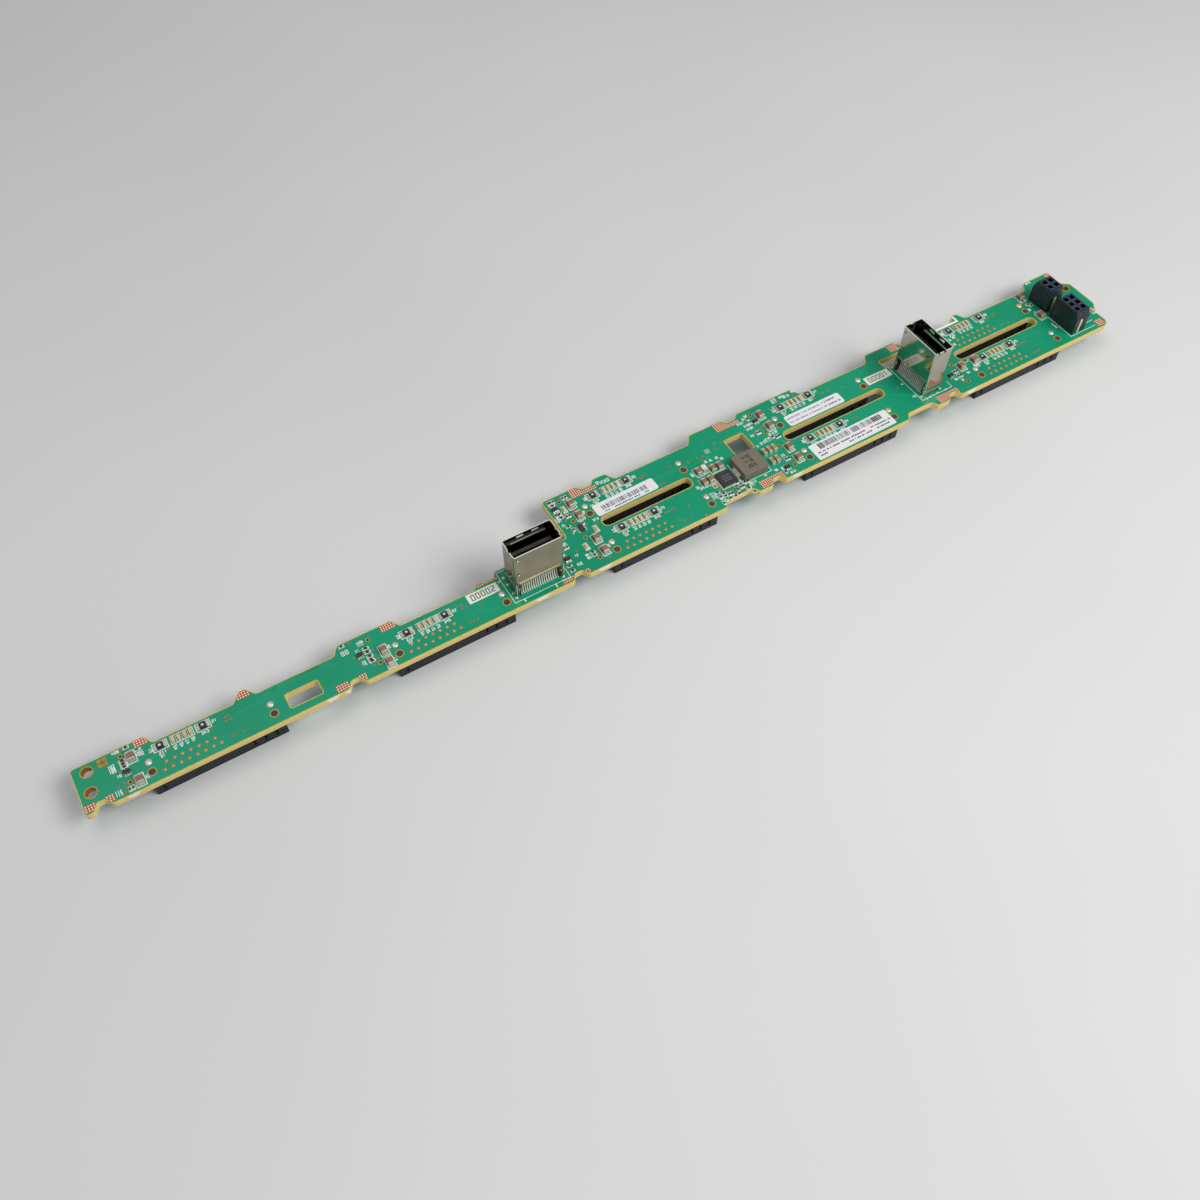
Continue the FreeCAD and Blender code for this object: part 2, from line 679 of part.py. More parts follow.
# Left fuse, right fuse, first capacitor and the line they stand on, for each bay in turn.
BAY_PARTS = [
    (4.85, 18.35, 8.85, 3.5),
    (5.2, 18.8, 9.75, 2.2),
    (6.3, 19.4, 10.2, 3.7),
    (5.45, 18.7, 9.5, 3.6),
    (6.25, 19.9, 10.3, 3.5),
    (4.75, 18.2, 9.3, 2.8),
    (4.95, 17.6, 8.6, 3.5),
    (4.45, 19.9, 8.6, 3.0),
]
CAPACITOR_STEP = 1.87
for bay, ((column, row), (left_fuse, right_fuse, first_cap, line)) in enumerate(
    zip(BAYS, BAY_PARTS), start=1
):
    fuses = [(column, row, x, line) for x in (left_fuse, right_fuse)]
    parts_group(f"bay_fuses_{bay}", (3.0, 2.2, 0.8), fuses)
    caps = [(column, row, first_cap + CAPACITOR_STEP * step, line) for step in range(4)]
    parts_group(f"bay_capacitors_{bay}", (1.2, 2.2, 0.85), caps)

parts_group("input_capacitors", (2.4, 3.2, 1.7), [
    (0, 0, -3.9, 4.3), (0, 0, -3.9, -4.5), (1, 0, -3.9, -0.1), (1, 0, -3.9, -5.1),
    (2, 0, -3.8, -1.9), (2, 0, -3.8, 3.8), (2, 1, -3.8, -2.6), (2, 1, -3.8, 3.2),
    (3, 0, -3.8, -1.9), (3, 0, -3.8, 3.9), (3, 1, -3.8, -2.2), (3, 1, -3.8, 4.1),
    (4, 0, -4.0, 3.6), (4, 0, 2.4, 3.6), (4, 1, 42.0, 3.2), (4, 0, 42.0, 9.3),
])
parts_group("regulator_capacitors", (2.0, 3.0, 1.5), [
    (3, 0, -38.6, 10.8), (3, 0, -36.1, 10.9), (3, 0, -33.3, 9.4), (3, 0, -30.5, 9.4),
    (3, 0, -39.4, 5.6), (3, 0, -36.9, 5.6),
])
parts_group("output_capacitors", (1.7, 3.0, 1.3), [
    (3, 0, -13.1, 6.3), (3, 0, -10.9, 6.3), (3, 0, -8.8, 6.3), (3, 0, -13.1, 1.4), (3, 0, -10.9, 1.4),
])
parts_group("small_capacitors", (1.2, 2.0, 0.8), [
    (2, 0, -8.4, 2.6), (2, 0, -1.6, 7.6), (2, 1, -6.9, 2.4), (4, 0, 61.6, 0.9),
])
parts_group("transistors", (2.0, 1.3, 0.95), [
    (0, 0, -6.4, 0.2), (1, 0, -11.2, 2.1), (2, 1, -9.8, 3.9), (2, 0, -16.6, 1.2),
    (3, 1, -6.8, 2.6), (3, 0, -9.9, -3.6), (4, 0, -10.6, 1.9),
])
parts_group("resistors", (1.5, 0.75, 0.4), [
    (0, 0, -6.6, 2.3), (0, 0, -6.6, 3.4), (0, 0, -6.6, 4.5),
    (1, 0, -8.6, -1.8), (1, 0, -8.6, 0.2), (1, 0, -8.6, 2.0), (1, 0, -8.6, 3.6),
    (2, 1, -9.6, 5.9), (2, 1, -9.6, 1.2), (2, 1, -9.6, -0.2),
])
parts_group("bus_chip", (2.1, 3.0, 0.9), [(2, 0, -5.9, 10.3)])

LABELS = [
    (bay_x(2, 14.4), bay_y(0, 14.4), 25.0, 5.3, 1.0),
    (bay_x(3, 15.5), bay_y(0, 14.4), 25.0, 5.2, 0.3),
    (bay_x(3, 19.9), bay_y(0, -2.95), 35.4, 7.6, 0.8),
]
for index, (x, y, length, width, turn) in enumerate(LABELS, start=1):
    label_body = new_body(f"label_body_{index}")
    plan = new_sketch(label_body, f"label_plan_{index}")
    draw_rectangle(plan, -length / 2, length / 2, -width / 2, width / 2)
    pad(label_body, plan, "sheet.label_thick")
    node(f"label_{index}", link(f"label_place_{index}", label_body, x, y, TOP, turn))

# ------------------------------------------------------------------------- checks and the export

doc.recompute()
for thing in doc.Objects:
    state = set(thing.State)
    if state & {"Invalid", "Error"}:
        raise RuntimeError(f"{thing.Name} failed: {thing.State}")

os.makedirs("parts", exist_ok=True)
for name, thing in nodes.items():
    shape = Part.getShape(thing)
    if shape.isNull() or not shape.isValid() or not shape.Solids:
        raise RuntimeError(f"{name} has no valid shape")
    shape.exportStep(f"parts/{name}.step")
print(len(nodes), "sub-parts")
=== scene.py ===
"""Looks of the drive backplane board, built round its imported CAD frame.

Lengths are in millimetres in the frame's own axes until a piece is made, which turns them to metres.
Places on the board are given from a bay's left board lock, as (column, row, x, y).
"""

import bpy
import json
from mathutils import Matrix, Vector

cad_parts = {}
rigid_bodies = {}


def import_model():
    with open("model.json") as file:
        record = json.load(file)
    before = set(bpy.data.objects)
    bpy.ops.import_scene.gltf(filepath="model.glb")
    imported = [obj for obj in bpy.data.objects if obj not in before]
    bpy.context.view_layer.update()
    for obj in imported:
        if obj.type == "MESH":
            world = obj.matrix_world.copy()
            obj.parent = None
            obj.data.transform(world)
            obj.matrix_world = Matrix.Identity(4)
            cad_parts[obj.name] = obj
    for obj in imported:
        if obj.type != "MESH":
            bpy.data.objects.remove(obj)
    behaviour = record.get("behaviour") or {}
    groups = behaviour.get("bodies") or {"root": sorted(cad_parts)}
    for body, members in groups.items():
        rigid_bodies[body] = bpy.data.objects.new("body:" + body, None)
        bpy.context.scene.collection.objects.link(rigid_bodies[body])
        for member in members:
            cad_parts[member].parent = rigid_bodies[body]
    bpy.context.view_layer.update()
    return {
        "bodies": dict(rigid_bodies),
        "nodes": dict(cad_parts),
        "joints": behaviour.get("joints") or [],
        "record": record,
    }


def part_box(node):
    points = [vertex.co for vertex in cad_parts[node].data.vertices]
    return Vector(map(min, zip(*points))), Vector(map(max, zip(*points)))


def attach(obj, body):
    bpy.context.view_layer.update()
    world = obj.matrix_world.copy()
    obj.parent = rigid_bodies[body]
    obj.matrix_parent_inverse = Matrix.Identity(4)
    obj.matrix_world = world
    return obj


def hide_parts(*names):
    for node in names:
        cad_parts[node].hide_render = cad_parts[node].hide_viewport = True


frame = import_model()

import copy
import json
import math
import random

import bmesh
import bpy
from mathutils import Matrix, Vector

MM = 0.001
NODES = frame["nodes"]
dice = random.Random(7)

# ---------------------------------------------------------------------------- places in the frame

SOCKET_END = 1.84
SOCKET_FRONT = 5.5
BAYS = {(0, 0): 1, (1, 0): 2, (2, 0): 3, (3, 0): 4, (4, 0): 5, (2, 1): 6, (3, 1): 7, (4, 1): 8}
LOCK_SPAN = 38.72


def corners(node):
    """A node's lowest and highest corners, in millimetres."""
    low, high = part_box(node)
    return low / MM, high / MM


def lock_place(bay):
    """Centre of a bay's left board lock."""
    low, _ = corners(f"drive_socket_{BAYS[bay]}")
    return low.x + SOCKET_END, low.y + SOCKET_FRONT


LOCKS = {bay: lock_place(bay) for bay in BAYS}
BOARD_LOW, BOARD_HIGH = corners("board")
TOP = BOARD_HIGH.z


def spot(column, row, x, y):
    """A place on the board from a bay's left lock."""
    lock_x, lock_y = LOCKS[column, row]
    return lock_x + x, lock_y + y


def centre_of(node):
    low, high = corners(node)
    return (low.x + high.x) / 2, (low.y + high.y) / 2


# ------------------------------------------------------------------------------------- materials

MATERIALS = {}


def linear(red, green, blue):
    """A display colour, 0 to 255, as the linear values a shader takes."""
    values = [channel / 255 for channel in (red, green, blue)]
    return [v / 12.92 if v <= 0.04045 else ((v + 0.055) / 1.055) ** 2.4 for v in values] + [1.0]


def scaled(colour, share):
    """A linear colour made darker or lighter."""
    return [min(1.0, channel * share) for channel in colour[:3]] + [1.0]


class Shader:
    """Short calls for building one material's nodes."""

    def __init__(self, name):
        MATERIALS[name] = bpy.data.materials.new(name)
        MATERIALS[name].use_nodes = True
        self.tree = MATERIALS[name].node_tree
        self.base = self.tree.nodes["Principled BSDF"]
        self.place = self.node("ShaderNodeTexCoord").outputs["Object"]

    def feed(self, socket, value):
        if isinstance(value, bpy.types.NodeSocket):
            self.tree.links.new(value, socket)
        else:
            socket.default_value = value

    def node(self, kind, inputs=None, **settings):
        made = self.tree.nodes.new(kind)
        for name, value in settings.items():
            setattr(made, name, value)
        for name, value in (inputs or {}).items():
            self.feed(made.inputs[name], value)
        return made

    def noise(self, per_mm, detail=3.0, stretch=(1, 1, 1)):
        """Smooth noise with so many waves to a millimetre."""
        mapping = self.node("ShaderNodeMapping", {"Vector": self.place, "Scale": stretch})
        inputs = {"Vector": mapping.outputs[0], "Scale": per_mm / MM, "Detail": detail}
        return self.node("ShaderNodeTexNoise", inputs).outputs["Fac"]

    def upward(self, vector):
        return self.node("ShaderNodeSeparateXYZ", {"Vector": vector}).outputs["Z"]

    def ramp(self, factor, first, second, start=0.3, end=0.7):
        """One colour turning into another along a factor."""
        made = self.node("ShaderNodeValToRGB", {"Fac": factor})
        for element, position, colour in zip(made.color_ramp.elements, (start, end), (first, second)):
            element.position = position
            element.color = colour
        return made.outputs["Color"]

    def scale(self, factor, low, high, from_low=0.3, from_high=0.7):
        """A factor moved to another range."""
        inputs = {"Value": factor, "From Min": from_low, "From Max": from_high, "To Min": low, "To Max": high}
        return self.node("ShaderNodeMapRange", inputs).outputs["Result"]

    def mix(self, factor, first, second):
        return self.node("ShaderNodeMix", {0: factor, 6: first, 7: second}, data_type="RGBA").outputs[2]

    def maths(self, operation, first, second=0.0):
        return self.node("ShaderNodeMath", {0: first, 1: second}, operation=operation).outputs[0]

    def bump(self, height, distance_mm, strength=1.0):
        inputs = {"Height": height, "Distance": distance_mm * MM, "Strength": strength}
        self.set(Normal=self.node("ShaderNodeBump", inputs).outputs["Normal"])

    def set(self, **values):
        for name, value in values.items():
            self.feed(self.base.inputs[name.replace("_", " ")], value)


def plain_finish(name, colour, spread, rough, per_mm, metal=0.0, grain_mm=0.0):
    """A finish whose colour wanders a little, with a grain in its gloss and relief."""
    shade = Shader(name)
    middle = linear(*colour)
    wander = shade.ramp(shade.noise(per_mm), scaled(middle, 1 - spread), scaled(middle, 1 + spread))
    gloss = shade.scale(shade.noise(per_mm * 2.3), rough * 0.82, min(1.0, rough * 1.2))
    shade.set(Base_Color=wander, Metallic=metal, Roughness=gloss)
    if grain_mm:
        shade.bump(shade.noise(per_mm * 4), grain_mm)


CORE_LINE = 1.55
LAYER_PITCH = 0.34


def laminate_colour(shade):
    """Glass-fibre laminate seen on edge: tan layers with fine darker copper lines between."""
    height = shade.upward(shade.place)
    weave = shade.noise(1.3, 4.0, (1, 1, 6))
    layers = shade.maths("MULTIPLY", height, 2 * math.pi / (LAYER_PITCH * MM))
    wander = shade.maths("ADD", layers, shade.scale(shade.noise(0.25), -0.7, 0.7))
    lines = shade.maths("SINE", wander)
    body = shade.ramp(weave, linear(224, 198, 112), linear(243, 224, 150), 0.25, 0.75)
    away = shade.maths("ABSOLUTE", shade.maths("SUBTRACT", height, (TOP - CORE_LINE) * MM))
    body = shade.mix(shade.scale(away, 0.5, 0.0, 0.08 * MM, 0.2 * MM), body, linear(150, 116, 48))
    return shade.mix(shade.scale(lines, 0.0, 0.42, 0.5, 1.0), body, linear(196, 160, 84)), weave


def board_finish():
    """Solder mask on the flat faces, bare laminate on every cut edge."""
    shade = Shader("board_mask_and_edges")
    normal = shade.node("ShaderNodeNewGeometry").outputs["Normal"]
    flat = shade.maths("GREATER_THAN", shade.maths("ABSOLUTE", shade.upward(normal)), 0.5)
    fine = shade.noise(2.2, 4.0)
    mask = shade.ramp(shade.noise(0.035, 2.0), linear(6, 142, 104), linear(14, 154, 114))
    mask = shade.mix(shade.scale(fine, 0.0, 0.16, 0.45, 0.8), mask, linear(28, 160, 122))
    black, white = (0, 0, 0, 1), (1, 1, 1, 1)
    copper = shade.node("ShaderNodeTexBrick", {
        "Vector": shade.place, "Scale": 1 / (6.4 * MM), "Mortar Size": 0.012, "Mortar Smooth": 0.3,
        "Color1": black, "Color2": black, "Mortar": white,
    }).outputs["Color"]
    mask = shade.mix(shade.maths("MULTIPLY", copper, 0.07), mask, linear(14, 112, 84))
    laminate, weave = laminate_colour(shade)
    satin = shade.scale(fine, 0.24, 0.36)
    shade.set(Base_Color=shade.mix(flat, laminate, mask), Roughness=shade.scale(flat, 0.72, satin, 0, 1))
    relief = shade.maths("ADD", shade.maths("MULTIPLY", fine, 0.5), shade.maths("MULTIPLY", weave, 0.5))
    shade.bump(relief, 0.03, 0.6)
    shade.set(Specular_IOR_Level=0.4)


def border_finish():
    """The thin strip without mask round every edge: bare laminate seen from above."""
    shade = Shader("bare_border")
    colour = shade.ramp(shade.noise(0.9, 4.0), linear(190, 166, 68), linear(222, 198, 100))
    shade.set(Base_Color=colour, Roughness=0.5)
    shade.bump(shade.noise(4), 0.02)


RIM_HEIGHT = corners("port_shell_1")[1].z
RIM_HIGHLIGHT_DEPTH = 0.09


def shield_finish(name, dark, light):
    """Bright plated steel, with the faint rolling lines of its sheet and a near-white band along its top rim,
    partly the cut edge and partly a painted highlight.
    """
    shade = Shader(name)
    lines = shade.noise(1.2, 4.0, (0.15, 0.15, 2.5))
    # Top band of the sheet, near-white and less metallic: partly the cut edge, partly a painted highlight.
    rim = shade.maths("GREATER_THAN", shade.upward(shade.place), (RIM_HEIGHT - RIM_HIGHLIGHT_DEPTH) * MM)
    face = shade.mix(rim, shade.ramp(shade.noise(0.12, 2.0), dark, light), linear(232, 230, 222))
    shade.set(Base_Color=face, Metallic=shade.scale(rim, 1.0, 0.25, 0, 1))
    shade.set(Roughness=shade.scale(lines, 0.06, 0.13))
    shade.bump(lines, 0.004, 0.35)


def solder_finish():
    """Solder: bright metal with a softly frosted skin."""
    shade = Shader("solder")
    cloud = shade.noise(0.9, 3.0)
    shade.set(Base_Color=shade.ramp(cloud, linear(206, 200, 186), linear(240, 236, 224)), Metallic=0.7)
    shade.set(Roughness=shade.scale(shade.noise(2.5), 0.28, 0.48))
    shade.bump(cloud, 0.08, 0.5)


def chip_finish(name, colour, sparkle):
    """Moulded epoxy or pressed powder with fine lighter grains."""
    shade = Shader(name)
    grains = shade.noise(5.5, 5.0)
    shade.set(Base_Color=shade.ramp(grains, colour, scaled(colour, 1 + sparkle), 0.42, 0.78), Roughness=0.62)
    shade.bump(grains, 0.03, 0.7)


def label_finish():
    shade = Shader("label_stock")
    fibre = shade.noise(1.8, 4.0)
    shade.set(Base_Color=shade.ramp(fibre, linear(226, 227, 230), linear(238, 239, 242)), Roughness=0.42)
    shade.bump(fibre, 0.01, 0.5)


def floor_finish():
    """A plain pale floor."""
    shade = Shader("pale_floor")
    colour = shade.ramp(shade.noise(0.004, 2.0), linear(214, 215, 216), linear(220, 221, 222))
    shade.set(Base_Color=colour, Roughness=0.8, Specular_IOR_Level=0.2)


# Display colour, spread, roughness and waves to a millimetre, then metal and depth of grain in millimetres.
FINISHES = {
    "silk_white": ((238, 240, 234), 0.05, 0.6, 2),
    "plate_white": ((236, 234, 222), 0.04, 0.6, 1),
    "plate_green": ((28, 108, 80), 0.12, 0.4, 1.5),
    "mask_over_trace": ((26, 158, 116), 0.06, 0.3, 0.5),
    "pad_red": ((132, 48, 34), 0.2, 0.5, 1.4),
    "via_copper": ((190, 84, 48), 0.22, 0.5, 1.4),
    "hatch_copper": ((178, 86, 38), 0.2, 0.5, 1.1),
    "hatch_pale": ((250, 240, 226), 0.05, 0.6, 1.6),
    "pin_rim": ((162, 120, 64), 0.14, 0.5, 1.3, 0.35),
    "pin_gold": ((214, 168, 84), 0.14, 0.4, 1.3, 0.35),
    "pin_copper": ((208, 158, 108), 0.14, 0.4, 1.3, 0.35),
    # Pale tin of the regulator's pads, also the colour of the painted highlights on the pins.
    "pale_pad_and_painted_glint": ((240, 214, 176), 0.1, 0.35, 1.8, 0.35),
    "plating_gold": ((192, 152, 66), 0.15, 0.42, 1.2, 0.3),
    "hole_wall_painted_shade": ((156, 100, 28), 0.2, 0.5, 0.9),
    "contact_gold": ((232, 190, 104), 0.08, 0.28, 0.8, 1),
    "solder_gold": ((232, 202, 128), 0.1, 0.4, 0.9, 0.5),
    "lead_tin": ((212, 210, 204), 0.08, 0.3, 1.5, 0.9),
    "port_lead": ((238, 236, 228), 0.05, 0.35, 1.5, 0.2),
    "terminal_tin": ((198, 192, 178), 0.12, 0.4, 1.6, 0.5, 0.03),
    "ceramic_brown": ((142, 108, 84), 0.1, 0.55, 1.6, 0, 0.02),
    "ceramic_tan": ((216, 184, 132), 0.1, 0.55, 1.8, 0, 0.02),
    "ceramic_olive": ((156, 142, 104), 0.1, 0.55, 1.8, 0, 0.02),
    "fuse_black": ((34, 32, 36), 0.25, 0.5, 1.8),
    "fuse_painted_reflection": ((206, 208, 214), 0.08, 0.45, 2),
    "resistor_film": ((36, 36, 40), 0.25, 0.4, 2),
    "resistor_white": ((222, 222, 214), 0.05, 0.5, 2),
    "hole_shadow": ((26, 22, 14), 0.3, 0.9, 1.5),
    "socket_plastic": ((17, 21, 30), 0.18, 0.5, 0.7, 0, 0.02),
    "core_plastic": ((24, 24, 26), 0.2, 0.45, 0.8, 0, 0.02),
    "header_plastic": ((30, 38, 48), 0.2, 0.32, 0.6, 0, 0.02),
    # The headers' plastic again, lighter and bluer: a painted highlight on rims, ribs and latches.
    "header_rib_painted_highlight": ((84, 100, 124), 0.15, 0.3, 0.8),
    "clip_tin": ((228, 216, 186), 0.1, 0.3, 1.2, 0.4),
    "label_ink": ((46, 47, 52), 0.2, 0.6, 2.2),
    "label_mid_ink": ((112, 114, 120), 0.15, 0.6, 2.2),
    "label_faint_ink": ((150, 152, 158), 0.1, 0.6, 2.2),
    "test_pad": ((146, 136, 62), 0.12, 0.42, 1.2, 0.2),
    "pad_peach": ((206, 168, 146), 0.1, 0.5, 1.4),
    "chip_print": ((112, 116, 124), 0.1, 0.6, 1.4),
    "fiducial_rim": ((120, 176, 152), 0.08, 0.5, 1.4),
    "fiducial_tin": ((186, 190, 184), 0.08, 0.4, 1.4, 0.4),
    "torn_fibre": ((244, 242, 234), 0.12, 0.8, 1.6, 0, 0.08),
    "peg_plastic": ((66, 64, 64), 0.3, 0.8, 1.6, 0, 0.05),
}

board_finish()
border_finish()
shield_finish("shield_steel", linear(170, 166, 152), linear(190, 187, 174))
# The second port's shell: the same plated steel, darker and olive, as a painted reflection of dark
# surroundings.
shield_finish("shield_steel_painted_reflection", linear(134, 130, 108), linear(160, 156, 134))
solder_finish()
chip_finish("chip_epoxy", linear(44, 45, 49), 0.9)
chip_finish("inductor_powder", linear(112, 105, 92), 0.45)
label_finish()
floor_finish()
for finish, values in FINISHES.items():
    plain_finish(finish, *values)

# ---------------------------------------------------------------------------------- mesh pieces


def at_height(outline, height):
    return [(x, y, height) for x, y in outline]


def rectangle(length, width, cut=0.0, x=0.0, y=0.0):
    """An outline about a centre, with its corners cut."""
    a, b = length / 2, width / 2
    shape = [(-a, -b), (a, -b), (a, b), (-a, b)] if not cut else [
        (-a + cut, -b), (a - cut, -b), (a, -b + cut), (a, b - cut),
        (a - cut, b), (-a + cut, b), (-a, b - cut), (-a, -b + cut),
    ]
    return [(x + px, y + py) for px, py in shape]


def circle(radius, sides=20, x=0.0, y=0.0):
    turns = [2 * math.pi * step / sides for step in range(sides)]
    return [(x + radius * math.cos(turn), y + radius * math.sin(turn)) for turn in turns]


GLYPHS = {
    "0": [[(0, 0), (1, 0), (1, 2), (0, 2), (0, 0)]],
    "1": [[(0.1, 1.6), (0.5, 2), (0.5, 0)]],
    "2": [[(0, 2), (1, 2), (1, 1.1), (0, 0.7), (0, 0), (1, 0)]],
    "3": [[(0, 2), (1, 2), (1, 0), (0, 0)], [(0.2, 1), (1, 1)]],
    "4": [[(0, 2), (0, 0.9), (1, 0.9)], [(0.8, 2), (0.8, 0)]],
    "5": [[(1, 2), (0, 2), (0, 1.1), (1, 1.1), (1, 0), (0, 0)]],
    "6": [[(1, 2), (0, 2), (0, 0), (1, 0), (1, 1), (0, 1)]],
    "7": [[(0, 2), (1, 2), (0.4, 0)]],
    "8": [[(0, 0), (1, 0), (1, 2), (0, 2), (0, 0)], [(0, 1), (1, 1)]],
    "9": [[(1, 1), (0, 1), (0, 2), (1, 2), (1, 0), (0, 0)]],
}


class Piece:
    """One mesh object that collects closed solids of several materials, drawn in a frame of its own."""

    def __init__(self, name):
        self.name = name
        self.materials = []
        self.points = []
        self.faces = []
        self.frame = Matrix()

    def within(self, frame):
        """The same piece, drawn in a frame inside this one."""
        pen = copy.copy(self)
        pen.frame = self.frame @ frame
        return pen

    def moved(self, x, y, z=0.0):
        return self.within(Matrix.Translation((x, y, z)))

    def turned(self, degrees, axis="Z"):
        return self.within(Matrix.Rotation(math.radians(degrees), 4, axis))

    def at(self, x, y, turn=0.0, height=0.0):
        """The same piece, drawn from a place on the board's top, turned in degrees."""
        return self.moved(x, y, TOP + height).turned(turn)

    def add(self, points, material, *groups):
        """Points with groups of faces, each smooth or flat."""
        if material not in self.materials:
            self.materials.append(material)
        first = len(self.points)
        self.points += [self.frame @ Vector(point) for point in points]
        index = self.materials.index(material)
        for faces, smooth in groups:
            self.faces += [([first + corner for corner in face], index, smooth) for face in faces]

    def make(self, slot, *replaced):
        mesh = bpy.data.meshes.new(self.name)
        mesh.from_pydata([point * MM for point in self.points], [], [face[0] for face in self.faces])
        for material in self.materials:
            mesh.materials.append(MATERIALS[material])
        for polygon, (_, index, smooth) in zip(mesh.polygons, self.faces):
            polygon.material_index = index
            polygon.use_smooth = smooth
        mesh.update()
        link_piece(self.name, mesh, slot, *replaced)

    def loft(self, loops, material, smooth=False):
        """A closed solid through loops of equally many points, with flat ends. Loops run anticlockwise."""
        count = len(loops[0])
        last = (len(loops) - 1) * count
        sides = []
        for low in range(0, last, count):
            for step in range(count):
                after = (step + 1) % count
                sides.append([low + step, low + after, low + count + after, low + count + step])
        ends = [list(reversed(range(count))), list(range(last, last + count))]
        self.add(sum(loops, []), material, (sides, smooth), (ends, False))

    def prism(self, outline, low, high, material):
        """An upright solid on an anticlockwise outline."""
        self.loft([at_height(outline, low), at_height(outline, high)], material)

    def block(self, length, width, low, high, material, soft=0.06, x=0.0, y=0.0):
        """A block with its upright corners and its top edge eased."""
        full = rectangle(length, width, soft, x, y)
        eased = rectangle(length - 2 * soft, width - 2 * soft, soft, x, y)
        self.loft([at_height(full, low), at_height(full, high - soft), at_height(eased, high)], material)

    def dome(self, radius, low, rise, material, sides=14, rings=3):
        """A shallow round drop."""
        loops = [at_height(circle(radius, sides), low - 0.02)]
        for ring in range(rings):
            lean = math.pi / 2 * ring / rings
            loops.append(at_height(circle(radius * math.cos(lean), sides), low + rise * math.sin(lean)))
        loops.append(at_height(circle(radius * 0.08, sides), low + rise))
        self.loft(loops, material, True)

    def band(self, outside, inside, low, high, material):
        """A closed flat band between two outlines of equally many points."""
        count = len(outside)
        corners_of_band = [(outside, low), (outside, high), (inside, high), (inside, low)]
        loops = [at_height(outline, height) for outline, height in corners_of_band]
        faces = []
        for level in range(4):
            here, there = level * count, (level + 1) % 4 * count
            for step in range(count):
                after = (step + 1) % count
                faces.append([here + step, here + after, there + after, there + step])
        self.add(sum(loops, []), material, (faces, False))

    def collar(self, inner, outer, low, high, material, sides=24):
        """A flat ring round a hole."""
        self.band(circle(outer, sides), circle(inner, sides), low, high, material)

    def stroke(self, path, width, low, high, material):
        """A thin raised line along a path, with mitred turns."""
        path = [Vector(point) for point in path]
        runs = [(end - start).normalized() for start, end in zip(path, path[1:])]
        closed = (path[0] - path[-1]).length < 1e-6
        left, right = [], []
        for index, point in enumerate(path):
            before = runs[index - 1] if index or closed else runs[0]
            ahead = runs[index % len(runs)] if index < len(runs) or closed else runs[-1]
            along = (before + ahead).normalized()
            across = Vector((-along.y, along.x))
            reach = width / 2 / max(0.5, across.dot(Vector((-ahead.y, ahead.x))))
            left.append(point + across * reach)
            right.append(point - across * reach)
        for index in range(len(runs)):
            self.prism([right[index], right[index + 1], left[index + 1], left[index]], low, high, material)

    def figures(self, text, height, material, weight, thick):
        """Plain figures centred on the frame."""
        unit = height / 2
        advance = unit * 1.75
        start = -(len(text) - 1) * advance / 2 - unit / 2
        for index, figure in enumerate(text):
            for layer, path in enumerate(GLYPHS[figure]):
                points = [(start + index * advance + x * unit, (y - 1) * unit) for x, y in path]
                self.stroke(points, weight, -0.01, thick + 0.004 * layer, material)


def link_piece(name, mesh, slot, *replaced):
    """Puts a mesh in the scene as a piece of the body."""
    thing = bpy.data.objects.new(name, mesh)
    bpy.context.scene.collection.objects.link(thing)
    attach(thing, "root")
    if replaced:
        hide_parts(*replaced)


# --------------------------------------------------------------------- the board and its outline


def extent(points):
    return max(x for x, _ in points) - min(x for x, _ in points)


def middle_of(points):
    return sum(x for x, _ in points) / len(points), sum(y for _, y in points) / len(points)


def top_loops():
    """The outlines of the board's top face, outer first, as lists of corners."""
    mesh = bmesh.new()
    mesh.from_mesh(NODES["board"].data)
    bmesh.ops.remove_doubles(mesh, verts=mesh.verts, dist=1e-7)
    mesh.normal_update()
    follow = {}
    for edge in mesh.edges:
        tops = [face for face in edge.link_faces if face.normal.z > 0.9]
        if len(tops) != 1:
            continue
        for loop in tops[0].loops:
            if loop.edge == edge:
                follow[loop.vert.index] = (loop.vert.co.copy(), loop.link_loop_next.vert.index)
    loops = []
    while follow:
        index = next(iter(follow))
        points = []
        while index in follow:
            point, index = follow.pop(index)
            points.append((point.x / MM, point.y / MM))
        loops.append(points)
    mesh.free()
    return sorted(loops, key=lambda points: -extent(points))


def neighbours(points):
    """Each point of a loop with the ones before and after it."""
    return [
        (Vector(points[index - 1]), Vector(point), Vector(points[(index + 1) % len(points)]))
        for index, point in enumerate(points)
    ]


def straightened(points, slack=0.004):
    """A loop without the points that lie along straight runs."""
    kept = []
    for point, (before, here, after) in zip(points, neighbours(points)):
        run, lean = after - before, here - before
        if abs(run.x * lean.y - run.y * lean.x) / max(run.length, 1e-6) > slack:
            kept.append(point)
    return kept


def inset(points, distance):
    """A loop moved sideways into its left-hand side."""
    moved = []
    for before, here, after in neighbours(points):
        ahead = (after - here).normalized()
        along = ((here - before).normalized() + ahead).normalized()
        across = Vector((-along.y, along.x))
        lean = max(0.5, across.dot(Vector((-ahead.y, ahead.x))))
        moved.append(tuple(here + across * distance / lean))
    return moved


CORNER_TURN = math.radians(25)
CORNER_RADIUS = 1.3
WINDOW_RADIUS = 0.75
WINDOW_LENGTH = 14.0
ARC_STEP = math.radians(9)
PEG_HOLE = 2.5
SMALL_HOLE = 4.0
ROUND_STEPS = 36


